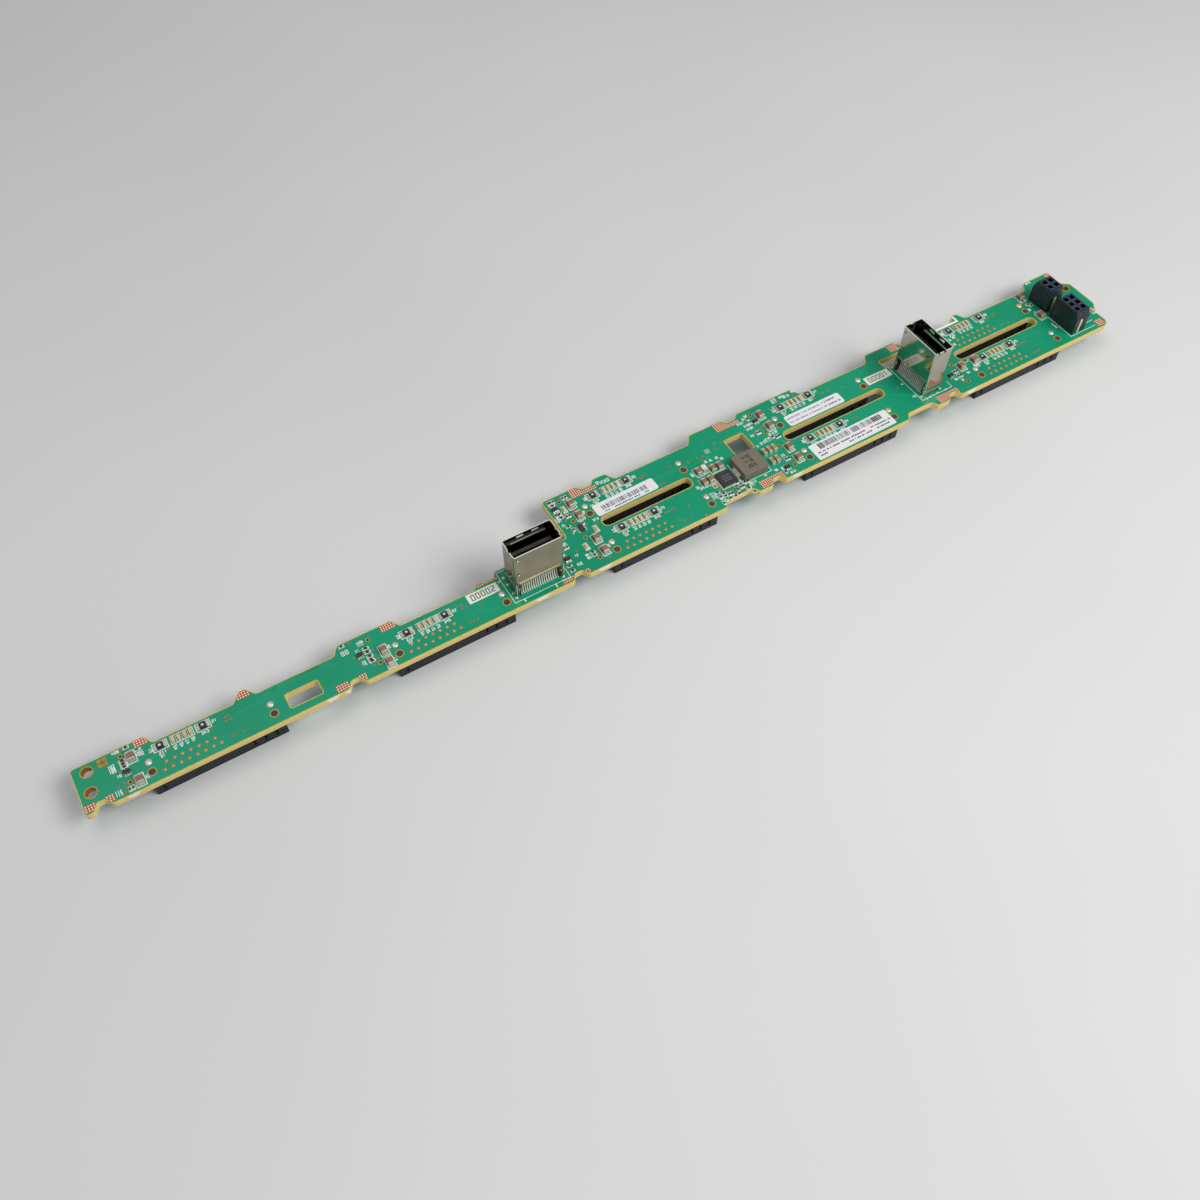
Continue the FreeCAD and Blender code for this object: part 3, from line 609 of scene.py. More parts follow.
def softened(points):
    """A loop whose sharp corners are rounded, as a routing cutter leaves them."""
    made = []
    wanted = WINDOW_RADIUS if extent(points) < WINDOW_LENGTH else CORNER_RADIUS
    for point, (before, here, after) in zip(points, neighbours(points)):
        back, ahead = before - here, after - here
        turn = math.pi - back.angle(ahead)
        if turn < CORNER_TURN or extent(points) < SMALL_HOLE:
            made.append(point)
            continue
        reach = min(wanted * math.tan(turn / 2), 0.45 * back.length, 0.45 * ahead.length)
        radius = reach / math.tan(turn / 2)
        back.normalize()
        ahead.normalize()
        middle = here + (back + ahead).normalized() * radius / math.cos(turn / 2)
        first, last = here + back * reach - middle, here + ahead * reach - middle
        steps = max(2, round(turn / ARC_STEP))
        for step in range(steps + 1):
            lean = first.normalized().slerp(last.normalized(), step / steps)
            made.append(tuple(middle + lean * radius))
    return made


def rounded_hole(points):
    """A small hole of few flats as the round hole that it stands for."""
    x, y = middle_of(points)
    reach = [math.hypot(px - x, py - y) for px, py in points]
    if len(points) < 5 or max(reach) > 1.05 * min(reach):
        return None
    return circle(max(reach), ROUND_STEPS, x, y)[::-1]


STRIP_STAND = 0.03
LOOPS = [straightened(points) for points in top_loops()]
LOOPS = [rounded_hole(points) or softened(points) for points in LOOPS]
LOOPS[0] = [(x, max(y, BOARD_LOW.y + STRIP_STAND)) for x, y in LOOPS[0]]
OUTER = LOOPS[0]
LARGE_HOLES = [points for points in LOOPS[1:] if extent(points) > PEG_HOLE]
SCREW_HOLES = [points for points in LARGE_HOLES if len(points) == ROUND_STEPS]


def board_body():
    """The laminate with its slots, windows and holes, under its solder mask."""
    mesh = bmesh.new()
    rims = []
    for points in LOOPS:
        ring = [mesh.verts.new((x * MM, y * MM, TOP * MM)) for x, y in points]
        rims += [mesh.edges.new((ring[index - 1], ring[index])) for index in range(len(ring))]
    bmesh.ops.triangle_fill(mesh, use_beauty=True, edges=rims, normal=(0, 0, 1))
    grown = bmesh.ops.extrude_face_region(mesh, geom=mesh.faces[:])
    moved = [item for item in grown["geom"] if isinstance(item, bmesh.types.BMVert)]
    bmesh.ops.translate(mesh, verts=moved, vec=(0, 0, (BOARD_LOW.z - TOP) * MM))
    bmesh.ops.recalc_face_normals(mesh, faces=mesh.faces[:])
    body = bpy.data.meshes.new("board_body")
    mesh.to_mesh(body)
    mesh.free()
    body.polygons.foreach_set("use_smooth", [True] * len(body.polygons))
    body.set_sharp_from_angle(angle=math.radians(30))
    body.materials.append(MATERIALS["board_mask_and_edges"])
    link_piece("board_body", body, "solder_mask", "board")


def inside_of(points, x, y):
    """Whether a place is inside a loop."""
    inside = False
    for index, (ax, ay) in enumerate(points):
        bx, by = points[index - 1]
        if (ay > y) != (by > y) and x < (bx - ax) * (y - ay) / (by - ay) + ax:
            inside = not inside
    return inside


def edge_distance(points, x, y):
    """How far a place is from a loop's line."""
    nearest = math.inf
    here = Vector((x, y))
    for before, start, _ in neighbours(points):
        run = start - before
        share = min(1.0, max(0.0, (here - before).dot(run) / max(run.length_squared, 1e-9)))
        nearest = min(nearest, (here - before - run * share).length)
    return nearest


def on_board(x, y, margin):
    if not inside_of(OUTER, x, y) or edge_distance(OUTER, x, y) < margin:
        return False
    return all(not inside_of(hole, x, y) and edge_distance(hole, x, y) >= margin for hole in LARGE_HOLES)


def front_edge(x):
    """Where the outline's front side crosses a place along the board."""
    found = []
    for index, (ax, ay) in enumerate(OUTER):
        bx, by = OUTER[index - 1]
        if (ax > x) != (bx > x):
            found.append(ay + (by - ay) * (x - ax) / (bx - ax))
    return min(found)


BORDER = 0.27


def bare_borders():
    """The strip without mask round the outline, the slots and the windows."""
    piece = Piece("bare_borders")
    for loop in [OUTER] + LARGE_HOLES:
        piece.band(loop, inset(loop, BORDER), TOP - 0.01, TOP + 0.006, "bare_border")
    piece.make("solder_mask")


# ---------------------------------------------------------------------- plating, pins and solder

PIN_PITCH = 2.54
# Each row of power pins: its first place from the left lock, and its count.
PIN_ROWS = [(3.50, -4.90, 8), (4.77, -2.36, 7)]
PEG_Y = -3.68
PROBE_X = -6.65
PROBE_YS = (6.2, -3.65)
# Inner and outer radius of the plated rings.
PEG_RING = (1.12, 1.5)
PROBE_RING = (0.42, 0.78)
# Column, row and side of the board locks with golden solder.
GOLD_LOCKS = {(3, 0, 1), (4, 1, 1)}
LABELS = ["label_1", "label_2", "label_3"]


def board_plating():
    """Rings of the plated holes, peg ends, and the screw holes' gold rims over walls in painted shade."""
    piece = Piece("board_plating")
    for bay in BAYS:
        for offset in (0, LOCK_SPAN):
            pen = piece.at(*spot(*bay, offset, PEG_Y))
            pen.collar(*PEG_RING, -0.02, 0.03, "plating_gold")
            pen.prism(circle(1.2, 24), -0.02, 0.012, "peg_plastic")
        for y in PROBE_YS if bay != (4, 1) else ():
            pen = piece.at(*spot(*bay, PROBE_X, y))
            pen.collar(*PROBE_RING, -0.02, 0.03, "plating_gold")
            pen.prism(circle(0.46, 16), -0.02, 0.012, "hole_shadow")
    for hole in SCREW_HOLES:
        radius = extent(hole) / 2
        pen = piece.at(*middle_of(hole))
        # The screw hole's wall in darker warm laminate: painted shade inside the hole.
        pen.collar(radius - 0.05, radius + 0.04, BOARD_LOW.z - TOP + 0.02, 0.02, "hole_wall_painted_shade", ROUND_STEPS)
        pen.collar(radius - 0.03, radius + 0.3, -0.02, 0.024, "plating_gold", ROUND_STEPS)
    piece.make("contact_gold")


def under_label(x, y, margin=0.4):
    """Whether a label covers a place."""
    boxes = [corners(label) for label in LABELS]
    return any(
        low.x - margin < x < high.x + margin and low.y - margin < y < high.y + margin for low, high in boxes
    )


def solder_drops():
    """The soldered ends of the board locks and of the sockets' power contacts, with a painted highlight on
    each pin.
    """
    drops = Piece("lock_solder")
    pins = Piece("power_pin_solder")
    for column, row in BAYS:
        for side, offset in enumerate((0, LOCK_SPAN)):
            metal = "solder_gold" if (column, row, side) in GOLD_LOCKS else "solder"
            drops.at(*spot(column, row, offset, 0)).dome(1.2, 0, 0.55, metal, sides=20, rings=4)
        for start, y, count in PIN_ROWS:
            for step in range(count):
                place_x, place_y = spot(column, row, start + PIN_PITCH * step, y)
                if under_label(place_x, place_y):
                    continue
                pen = pins.at(place_x, place_y)
                pen.prism(circle(0.62, 16), -0.02, 0.015, "pin_rim")
                pen.dome(0.5, 0.01, 0.14, dice.choice(["pin_copper", "pin_copper", "pin_gold"]))
                # A small pale dome set off-centre on each pin's solder: a painted highlight.
                glint = pins.at(place_x + dice.uniform(-0.15, 0.15), place_y + dice.uniform(-0.1, 0.15))
                glint.dome(0.2, 0.09, 0.05, "pale_pad_and_painted_glint", sides=8, rings=2)
    drops.make("lock_tin", "board_locks")
    pins.make("contact_gold")


# ------------------------------------------------------------------------------- bare copper

HATCH_PITCH = 0.84
HATCH_DOT = 0.44
# Low x, high x, low y and high y of each patch of hatching.
HATCHES = {
    (0, 0): [
        (-2.1, 3.2, 6.6, 8.9), (-21, -17.9, -7, -4.8), (-14.6, -12.3, -7, -4.8), (30.5, 34.9, 6.4, 8.9),
    ],
    (1, 0): [
        (-22.6, -18.5, -7.1, -4.9), (-14.8, -12.6, -7.1, -4.9), (-1.6, 3.6, 6.4, 8.8),
        (32.2, 40.6, 6.3, 7.2), (32.8, 35.2, 7.2, 8.4),
    ],
    (2, 0): [(-22.4, -18.2, -7.1, -5.1), (-13.8, -12.2, -7.1, -5.1)],
    (2, 1): [(-1.8, 2.2, 5.1, 9), (2.2, 8.2, 5.1, 7)],
    (3, 1): [(-21.9, -17, 5, 9), (-17, -11.8, 5, 7.1)],
    (3, 0): [(-22.8, -12.6, -7.2, -3.8)],
    (4, 1): [(-22, -17.6, 5.3, 9), (59.8, 62.8, 7.2, 9)],
    (4, 0): [(-23, -12.8, -7.2, -3.8), (57.8, 61.5, -7, -3.6)],
}
# Vias that show through the mask: x and y.
VIAS = {
    (0, 0): [
        (6.6, 1.4), (14, 1.9), (20.3, 1.1), (25.2, 2.9), (26.5, 2.9), (25.1, 1.4), (26.5, 1.4),
        (24.9, -4.4), (26.1, -4.5), (28.6, -4.8), (-7.7, 4.4), (-8.1, 1.2), (-10, -3.2), (-8.3, -3),
        (-8.4, -4.8), (-5.4, -4.9), (-8.9, -6.1), (-5.5, 8.2),
    ],
    (1, 0): [
        (-13.3, 2.3), (-12.4, -0.9), (-8.8, -3.5), (-6.8, 2.1), (-6.9, -0.5), (-6.7, -1.8), (-8.9, 4.4),
        (-12.4, 8.4), (7.7, 1.8), (21.5, 2.8), (24.1, 3), (25.4, 3), (25.1, 1.5), (26.4, 1.5),
        (30.8, -0.3), (24.7, -4.6), (26.1, -4.6), (27.6, -4.7),
    ],
    (2, 0): [
        (-3.6, -5.1), (-6.7, -0.5), (-6.6, -1.9), (-12.2, 3), (6.7, 1.4), (15.9, 1.1), (19.4, 1.2),
        (22.7, 1.3), (24, 1.3), (25.3, 1.4), (26.6, 1.4), (25.2, -3.9), (26.4, -5), (28.1, -5),
        (31.4, -0.3), (34.2, -6.8), (28.3, -5),
    ],
    (2, 1): [
        (-11.5, 5.9), (-8, 5.2), (-5.9, 7.6), (-4.3, 0.4), (-7.9, 0.2), (-6.6, 0.4), (-8.8, -2.2),
        (-7.1, -5.7), (-3.5, -7), (0.2, -8.6), (7.7, 1.8), (19.9, 0.9), (22.2, 1.7), (23.6, 0.8),
        (24.7, 1.5), (25.9, 1.5), (28.2, -5.1), (35.2, 0.2), (42, -1.5), (46, -1.3), (48.2, -1.8),
        (46.8, -3.1), (49.2, -3.1), (54, -1.2), (55.3, 1.3), (57.6, 0.2), (29.6, -5.2), (57.5, -7.6),
    ],
    (3, 0): [
        (-35.2, 3.8), (-35.3, 2.5), (-36.3, 0.3), (-35.2, -1), (-35, -2.9), (-32.8, -2.3), (-30.1, -1.1),
        (-32.4, -3.9), (-28.8, -3.9), (-27.2, -2.4), (-8.9, 1.3), (-7.8, -1.4), (-5.8, -2), (-7.9, -6.3),
        (-7.8, -1), (7.1, 1.3), (19, 1.3), (21.4, 1.4), (25.2, 1.3), (26.7, 1.3), (25.3, 3.1),
        (26.7, 3.2), (0.8, -6.9), (-3.6, 7.3),
    ],
    (3, 1): [
        (-9.8, 3.7), (-5.2, 5.3), (-8.9, -1.1), (-7.3, -1.7), (-5.9, -0.7), (-5.5, -4.7), (-9.9, -4),
        (1.3, 5), (6.1, 7), (10.6, 6.7), (13, 6.4), (2.5, 2), (6.3, 1.6), (19.1, 1), (22.2, 1.5),
        (23.5, 1.5), (25, 1.6), (26.3, 1.6), (31.4, 0.3), (28.4, -5), (49, -11),
    ],
    (4, 0): [
        (-6.3, 3.5), (-8.6, -3.3), (-6.4, -0.5), (-8.8, -1.4), (7, 1.3), (21, 1.4), (22.3, 1.4),
        (23.6, 1.4), (24.9, 1.5), (26.2, 1.5), (25.2, -4.9), (26.7, -4.9), (28.2, -4.9),
    ],
    (4, 1): [
        (19, 1), (22.6, 0.7), (23.8, 1.6), (25.6, 1), (26.8, 1.8), (25, -4.7), (26.6, -4.7),
        (28.6, -4.8),
    ],
}


def hatched_pads():
    """Copper hatching with pale laminate between, where the panel's tabs were."""
    piece = Piece("hatched_pads")
    for bay, patches in HATCHES.items():
        for low_x, high_x, low_y, high_y in patches:
            start_x, start_y = spot(*bay, low_x, low_y)
            for i in range(round((high_x - low_x) / HATCH_PITCH)):
                for j in range(round((high_y - low_y) / HATCH_PITCH)):
                    x, y = start_x + (i + 0.5) * HATCH_PITCH, start_y + (j + 0.5) * HATCH_PITCH
                    if on_board(x, y, BORDER + 0.08):
                        pen = piece.at(x, y)
                        pen.prism(rectangle(HATCH_PITCH, HATCH_PITCH), -0.01, 0.012, "hatch_copper")
                        pen.prism(rectangle(HATCH_DOT, HATCH_DOT, 0.1), 0, 0.022, "hatch_pale")
    piece.make("contact_gold")


def copper_details():
    """Vias, the square test pad and the placement marks."""
    piece = Piece("board_copper")
    for bay, places in VIAS.items():
        for place in (spot(*bay, x, y) for x, y in places):
            if not under_label(*place):
                piece.at(*place).prism(circle(0.34, 12), -0.02, 0.016, "via_copper")
    pen = piece.at(*spot(0, 0, -11.9, 7.0))
    pen.prism(rectangle(3.0, 3.0), -0.02, 0.02, "test_pad")
    pen.dome(0.42, 0.01, 0.08, "pad_red", rings=2)
    for x, y in rectangle(1.9, 1.9):
        pen.moved(x, y).prism(rectangle(0.7, 0.7), 0.01, 0.03, "plating_gold")
    pen = piece.at(*spot(3, 0, -30.3, 17.5))
    pen.prism(rectangle(2.0, 2.0), -0.02, 0.02, "fiducial_rim")
    pen.prism(rectangle(1.5, 1.5, 0.1), 0, 0.035, "fiducial_tin")
    pen = piece.at(*spot(3, 0, -36.9, 2.4))
    pen.prism(rectangle(1.9, 1.9, 0.2), -0.02, 0.02, "pad_peach")
    pen.prism(circle(0.5, 16), 0, 0.04, "pin_rim")
    piece.make("contact_gold")


# ----------------------------------------------------------------------- soldered parts in detail

# Shares of a CAD block: the ceramic body in it, and each tinned end along it.
BODY_SHARE = 0.92
END_SHARE = 0.19
TINY_SIZE = (1.25, 0.62, 0.38)
WHITE_PART = spot(3, 0, -36.1, 10.9)
# Resistors and tiny capacitors that stand between the larger parts: x, y, turn.
TINY = {
    (0, 0): [(-4.3, 8.3, 0), (-7.4, -5.8, 90), (-6.3, -5.8, 90)],
    (1, 0): [(-15, 8.1, 0), (-8.8, -1, 0)],
    (2, 1): [
        (-10.4, 7.4, 90), (-9.5, 7.4, 90), (-8.5, 7.4, 90), (-4.9, 7, 90), (-3.6, 7, 90),
        (-10.7, 1.4, 90), (-9.2, 1.4, 90), (-7.6, -0.8, 90), (-6.5, -0.8, 90), (-9.4, -4.9, 0),
        (-8.5, -7, 90), (-4.2, -6, 90),
    ],
    (2, 0): [
        (-15.2, 5.8, 90), (-14.1, 5.8, 90), (-16.8, 4, 90), (-17.4, -1.6, 0), (-17.4, -3.8, 0),
        (-7.8, -0.6, 0), (-7.8, -1.9, 0),
    ],
    (3, 0): [
        (-36.3, -2, 0), (-36.3, -3.2, 0), (-34.6, -3.2, 90), (-33.6, -3.4, 90), (-30.8, -3, 90),
        (-30.8, -1.6, 90), (-29.4, -2.6, 90), (-29.4, 0, 90), (-28.4, -2.6, 90), (-27.2, -4.4, 0),
        (-33.2, -5, 0), (-35.4, -4.9, 90), (-31.4, -4.8, 90), (-25.6, -1.5, 90), (-26.9, -1.4, 90),
        (-8.1, -0.2, 90), (-6.9, -0.2, 90), (-11.6, -4.9, 90), (-26.3, -6.8, 0), (-37.9, -2.7, 90),
        (-38.5, -5.6, 90), (-37.9, -0.6, 0),
    ],
    (3, 1): [
        (-9.6, -2.6, 90), (-8.6, -2.6, 90), (-5.9, -6.9, 90), (-4.6, -7.7, 90), (-3.5, -7.7, 90),
        (-8.7, 5, 90), (-8, 2.7, 0),
    ],
    (4, 0): [
        (-8.2, 2.7, 90), (-7, 2.7, 90), (-8.2, 0.2, 90), (-7, 0.2, 90), (61.4, 1.2, 90), (41.6, 19.2, 0),
        (42.1, 16.9, 0), (-0.6, 4.9, 0), (42.3, 12, 0), (43.3, 2.6, 0), (43.3, 1.4, 0),
    ],
    (4, 1): [(43, -0.9, 0), (43, -2.3, 0)],
}


def blocks_of(node):
    """Centre and size of each block of a CAD group, in millimetres."""
    mesh = bmesh.new()
    mesh.from_mesh(NODES[node].data)
    bmesh.ops.remove_doubles(mesh, verts=mesh.verts, dist=1e-7)
    waiting = set(mesh.verts)
    found = []
    while waiting:
        seeds = [waiting.pop()]
        group = set(seeds)
        while seeds:
            for edge in seeds.pop().link_edges:
                fresh = waiting.intersection(edge.verts)
                waiting -= fresh
                group |= fresh
                seeds += fresh
        low = [min(vertex.co[axis] for vertex in group) / MM for axis in range(3)]
        high = [max(vertex.co[axis] for vertex in group) / MM for axis in range(3)]
        size = tuple(b - a for a, b in zip(low, high))
        found.append((((low[0] + high[0]) / 2, (low[1] + high[1]) / 2), size))
    mesh.free()
    return sorted(found)


def chip_capacitor(pen, size, ceramic):
    """A fired ceramic block between two tinned ends, on solder fillets. Its length runs along Y."""
    width, length, height = size[0] * BODY_SHARE, size[1] * BODY_SHARE, size[2]
    end = length * END_SHARE
    pen.block(width * 0.97, length - 2 * end + 0.1, 0.06, height * 0.97, ceramic, 0.05)
    for side in (-1, 1):
        pen.block(width, end, 0.0, height, "terminal_tin", 0.1, y=side * (length - end) / 2)
        fillet = []
        for half, reach, low, high in ((0.46, 0.32, 0, 0), (0.42, 0.06, 0.55, 0.45)):
            near, far = side * length / 2 * 0.98, side * (length / 2 + reach)
            a, low, high = width * half, height * low, height * high
            fillet.append([(-a, near, low), (a, near, low), (a, far, high), (-a, far, high)][::side])
        pen.loft(fillet, "solder")


def chip_resistor(pen, length, width, height):
    """A film resistor: tinned ends, dark film on top. Its length runs along X."""
    pen.block(length * 0.66, width * 0.96, 0.03, height, "resistor_film", 0.03)
    for side in (-1, 1):
        pen.block(length * 0.2, width, 0.0, height * 1.02, "terminal_tin", 0.05, x=side * length * 0.4)
        foot = rectangle(length * 0.16, width, 0, side * length * 0.54)
        pen.prism(foot, -0.01, height * 0.25, "solder")


def fuse(pen, length, width, height):
    """A chip fuse: dark square body with a pale patch on its top as a painted reflection, between two wide
    tinned ends.
    """
    pen.block(length * 0.7, width * 0.95, 0.03, height, "fuse_black")
    # Pale patch on the body's top: a painted reflection.
    pen.block(0.85, 0.8, height * 0.9, height + 0.02, "fuse_painted_reflection", 0.03)
    for side in (-1, 1):
        pen.block(length * 0.14, width * 0.95, 0, height * 0.75, "terminal_tin", 0.05, x=side * length * 0.42)
        foot = rectangle(0.55, width * 0.92, 0.1, side * (length * 0.5 + 0.2))
        pen.prism(foot, -0.01, 0.16, "solder")


LEG_WIDTH = 0.34


def small_outline(pen, length, width, height, legs):
    """A moulded body with gull-wing legs along its two long sides, so many in front and behind."""
    pen.block(length, width, 0.12, height, "chip_epoxy", 0.12)
    for side, count in zip((-1, 1), legs):
        for step in range(count):
            x = (step - (count - 1) / 2) * length / max(count, 2) * 1.05
            pen.block(LEG_WIDTH, 0.6, 0.0, 0.16, "lead_tin", 0.03, x, side * (width / 2 + 0.42))
            pen.block(LEG_WIDTH, 0.3, 0.02, height * 0.55, "lead_tin", 0.03, x, side * (width / 2 + 0.12))
            pen.prism(rectangle(0.5, 0.5, 0.1, x, side * (width / 2 + 0.62)), -0.01, 0.07, "solder")


def detailed(name, node, slot, draw):
    """A piece with a detailed part in place of each plain block of a CAD group."""
    piece = Piece(name)
    for centre, size in blocks_of(node):
        draw(piece.at(*centre), size)
    piece.make(slot, node)


def soldered_parts():
    """Detailed parts in place of the plain blocks of the CAD groups."""
    def capacitor(ceramic):
        def draw(pen, size):
            place = pen.frame.translation
            white = abs(place.x - WHITE_PART[0]) < 1 and abs(place.y - WHITE_PART[1]) < 2
            chip_capacitor(pen, size, "resistor_white" if white else ceramic)
        return draw

    for bay in BAYS.values():
        detailed(f"chip_fuses_{bay}", f"bay_fuses_{bay}", "fuse_body", lambda pen, size: fuse(pen, *size))
        detailed(f"chip_capacitors_{bay}", f"bay_capacitors_{bay}", "tan_ceramic", capacitor("ceramic_tan"))
    for node, kind in [
        ("input_capacitors", "brown"), ("regulator_capacitors", "brown"), ("output_capacitors", "olive"),
        ("small_capacitors", "tan"),
    ]:
        detailed(f"{node}_detailed", node, f"{kind}_ceramic", capacitor(f"ceramic_{kind}"))
    detailed("resistors_detailed", "resistors", "resistor_film", lambda pen, size: chip_resistor(pen, *size))
    detailed("transistors_detailed", "transistors", "chip_epoxy",
             lambda pen, size: small_outline(pen, size[0], size[1] * 0.95, size[2], (3, 2)))
    detailed("bus_chip_detailed", "bus_chip", "chip_epoxy",
             lambda pen, size: small_outline(pen.turned(90), size[1], size[0] * 0.8, size[2], (4, 4)))


def tiny_parts():
    piece = Piece("tiny_parts")
    for bay, places in TINY.items():
        for x, y, turn in places:
            chip_resistor(piece.at(*spot(*bay, x, y), turn), *TINY_SIZE)
    piece.make("resistor_film")


# ------------------------------------------------------------------------------- silk-screen marks

SILK_WIDTH = 0.2
SILK_LOW = TOP - 0.01
SILK_TOP = TOP + 0.024
FRAME_TOP = 0.02
FUSE_FRAME = (4.8, 3.25)
CAPACITOR_FRAME_WIDTH = 3.3
BAY_MARK_HEIGHT = 0.95
# Reference marks: x, y, turn, figures, and their height where it isn't the usual one.
MARKS = {
    (0, 0): [
        (-7.6, 8.2, 0, 408, 0.9), (-1.9, 4.6, 90, 267, 0.9), (-0.7, 4.7, 90, 2074, 0.9),
        (-10.1, 4.2, 0, 107), (-10.1, 3.2, 0, 108), (-10.1, 2.2, 0, 109), (-8.9, -0.1, 0, 10, 0.85),
        (-1.6, -4.4, 90, 25, 0.9), (-10.7, -5, 0, 112), (-10.7, -6, 0, 113),
    ],
    (1, 0): [
        (-9.9, 6.2, 90, 131), (-8.8, 6.2, 90, 132), (-11.4, 4.1, 0, 11), (-11.2, -0.8, 0, 14),
        (-11.2, -1.7, 0, 15), (-2, 0.4, 90, 26, 0.9), (-2, -4.9, 90, 27, 0.9), (-15, 5.4, 0, 88, 1.6),
        (40.4, 4.8, 90, 5),
    ],
    (2, 0): [
        (-14.4, 7.4, 0, 181), (-13.2, 1.1, 0, 12, 0.85), (-14.4, -2.6, 90, 19), (-13.6, -2.6, 90, 20),
        (-9.9, -0.6, 0, 84), (-9.9, -1.9, 0, 85), (-1.8, -0.9, 90, 28, 0.9), (-2.4, 3.6, 90, 29, 0.9),
        (0.3, 11.2, 0, 313, 0.9),
    ],
    (2, 1): [
        (-11, -0.2, 0, 126), (-11, -1.3, 0, 127), (-9.2, 2.9, 0, 45), (-10.6, -3.6, 90, 31),
        (-9.3, -8.4, 0, 7), (-1.8, 3.2, 90, 47, 0.9), (-1.7, -2.2, 90, 48, 0.9), (9.2, 6.9, 90, 50, 0.9),
        (10.6, 6.6, 90, 51, 0.9), (11.9, 6.3, 90, 52, 0.9), (13.2, 6.3, 90, 53, 0.9),
        (2.4, -1, 0, 16, 0.9),
    ],
    (3, 0): [
        (-41, 10.9, 90, 301, 0.95), (-42.6, 4.8, 90, 32, 0.95), (-41.4, 3.9, 0, 24, 0.95),
        (-39.9, 0, 0, 711), (-39.9, -1.1, 0, 712), (-39.9, -2.2, 0, 713), (-38.3, -3.4, 90, 21),
        (-38.3, -5, 0, 66), (-37, -5, 90, 67), (-33.5, 13.5, 90, 33), (-31.6, 13.3, 90, 34),
        (-29.1, 13.2, 90, 35), (-27.7, 11.9, 90, 36), (-24.6, -2.9, 0, 3012, 0.9),
        (-25.4, -4, 0, 411, 0.9), (-18.6, -2.6, 0, 41), (-14, -2.5, 0, 96), (-11.6, -3, 90, 55),
        (-9.3, -6.2, 0, 812), (-7.9, 1.9, 0, 23),
    ],
    (3, 1): [
        (-12.4, 4.4, 0, 3107, 0.85), (-10.7, 2.4, 0, 3108, 0.85), (-10.7, 0.6, 0, 3109, 0.85),
        (-10.2, 5.8, 90, 61), (-8.6, 6.6, 0, 62), (-11.9, -2.7, 0, 63), (-13, -7.9, 90, 71),
        (-11.2, -7.6, 90, 72), (-9.7, -7.6, 90, 73), (-8.6, -7.2, 90, 174), (-7.3, -7.2, 90, 175),
        (-6, -5.4, 90, 76), (-4.4, -5.6, 90, 77), (-3.2, -5.6, 90, 78), (5, 8.1, 0, 310, 0.9),
        (4.9, 6.9, 0, 311, 0.9), (9.6, 7.4, 90, 80, 0.9), (11.3, 7.4, 90, 81, 0.9),
        (8.3, 7.9, 0, 82, 0.9), (14, 8, 0, 83, 0.9),
    ],
    (4, 0): [
        (-10, -0.6, 0, 90), (-8, -1.9, 90, 91), (1, 1, 90, 92, 0.9), (2.4, 1, 90, 93, 0.9),
        (-3.6, -0.2, 0, 94), (42.6, 3.4, 0, 5),
    ],
    (4, 1): [(2, -3.8, 90, 95), (2, -0.9, 90, 97), (40.7, -3.9, 90, 98), (51, 8.4, 0, 2010)],
}


def silk_frame(piece, x, y, length, width, line=SILK_WIDTH, top=FRAME_TOP):
    """A rectangle of white line."""
    outside = rectangle(length, width, 0, x, y)
    inside = rectangle(length - 2 * line, width - 2 * line, 0, x, y)
    piece.band(outside, inside, SILK_LOW, TOP + top, "silk_white")


def silk_line(piece, width, *points):
    piece.stroke(points, width, SILK_LOW, SILK_TOP, "silk_white")


def mark(piece, x, y, turn, number, height=0.8):
    """A reference mark of plain figures."""
    piece.at(x, y, turn).figures(str(number), height, "silk_white", 0.22, 0.028)


def bay_marks(piece, bay):
    """Frames round the bay's fuses and capacitors, and the marks below them."""
    fuses, caps = [[place for place, _ in blocks_of(f"bay_{kind}_{bay}")] for kind in ("fuses", "capacitors")]
    for x, y in fuses:
        silk_frame(piece, x, y, *FUSE_FRAME, 0.24)
    first, last = caps[0][0], caps[-1][0]
    silk_frame(piece, (first + last) / 2, caps[0][1], last - first + 1.75, CAPACITOR_FRAME_WIDTH)
    for (ax, ay), (bx, _) in zip(caps, caps[1:]):
        silk_line(piece, SILK_WIDTH, ((ax + bx) / 2, ay - 1.6), ((ax + bx) / 2, ay + 1.6))
    for index, (x, y) in enumerate(caps):
        mark(piece, x - 0.1, y - 2.85, 90, 41 + 4 * bay + index, BAY_MARK_HEIGHT)
    for (x, y), shift_x, shift_y, turn, number in [
        (fuses[0], 0, -2.5, 0, 210 + bay), (fuses[0], -0.4, -3.6, 0, 30 + bay),
        (fuses[1], -0.2, -2.5, 0, 340 + 3 * bay), (fuses[1], 3.5, 0, 0, 20 + bay),
        (fuses[0], -2.95, 0, 90, 60 + bay),
    ]:
        mark(piece, x + shift_x, y + shift_y, turn, number, BAY_MARK_HEIGHT)


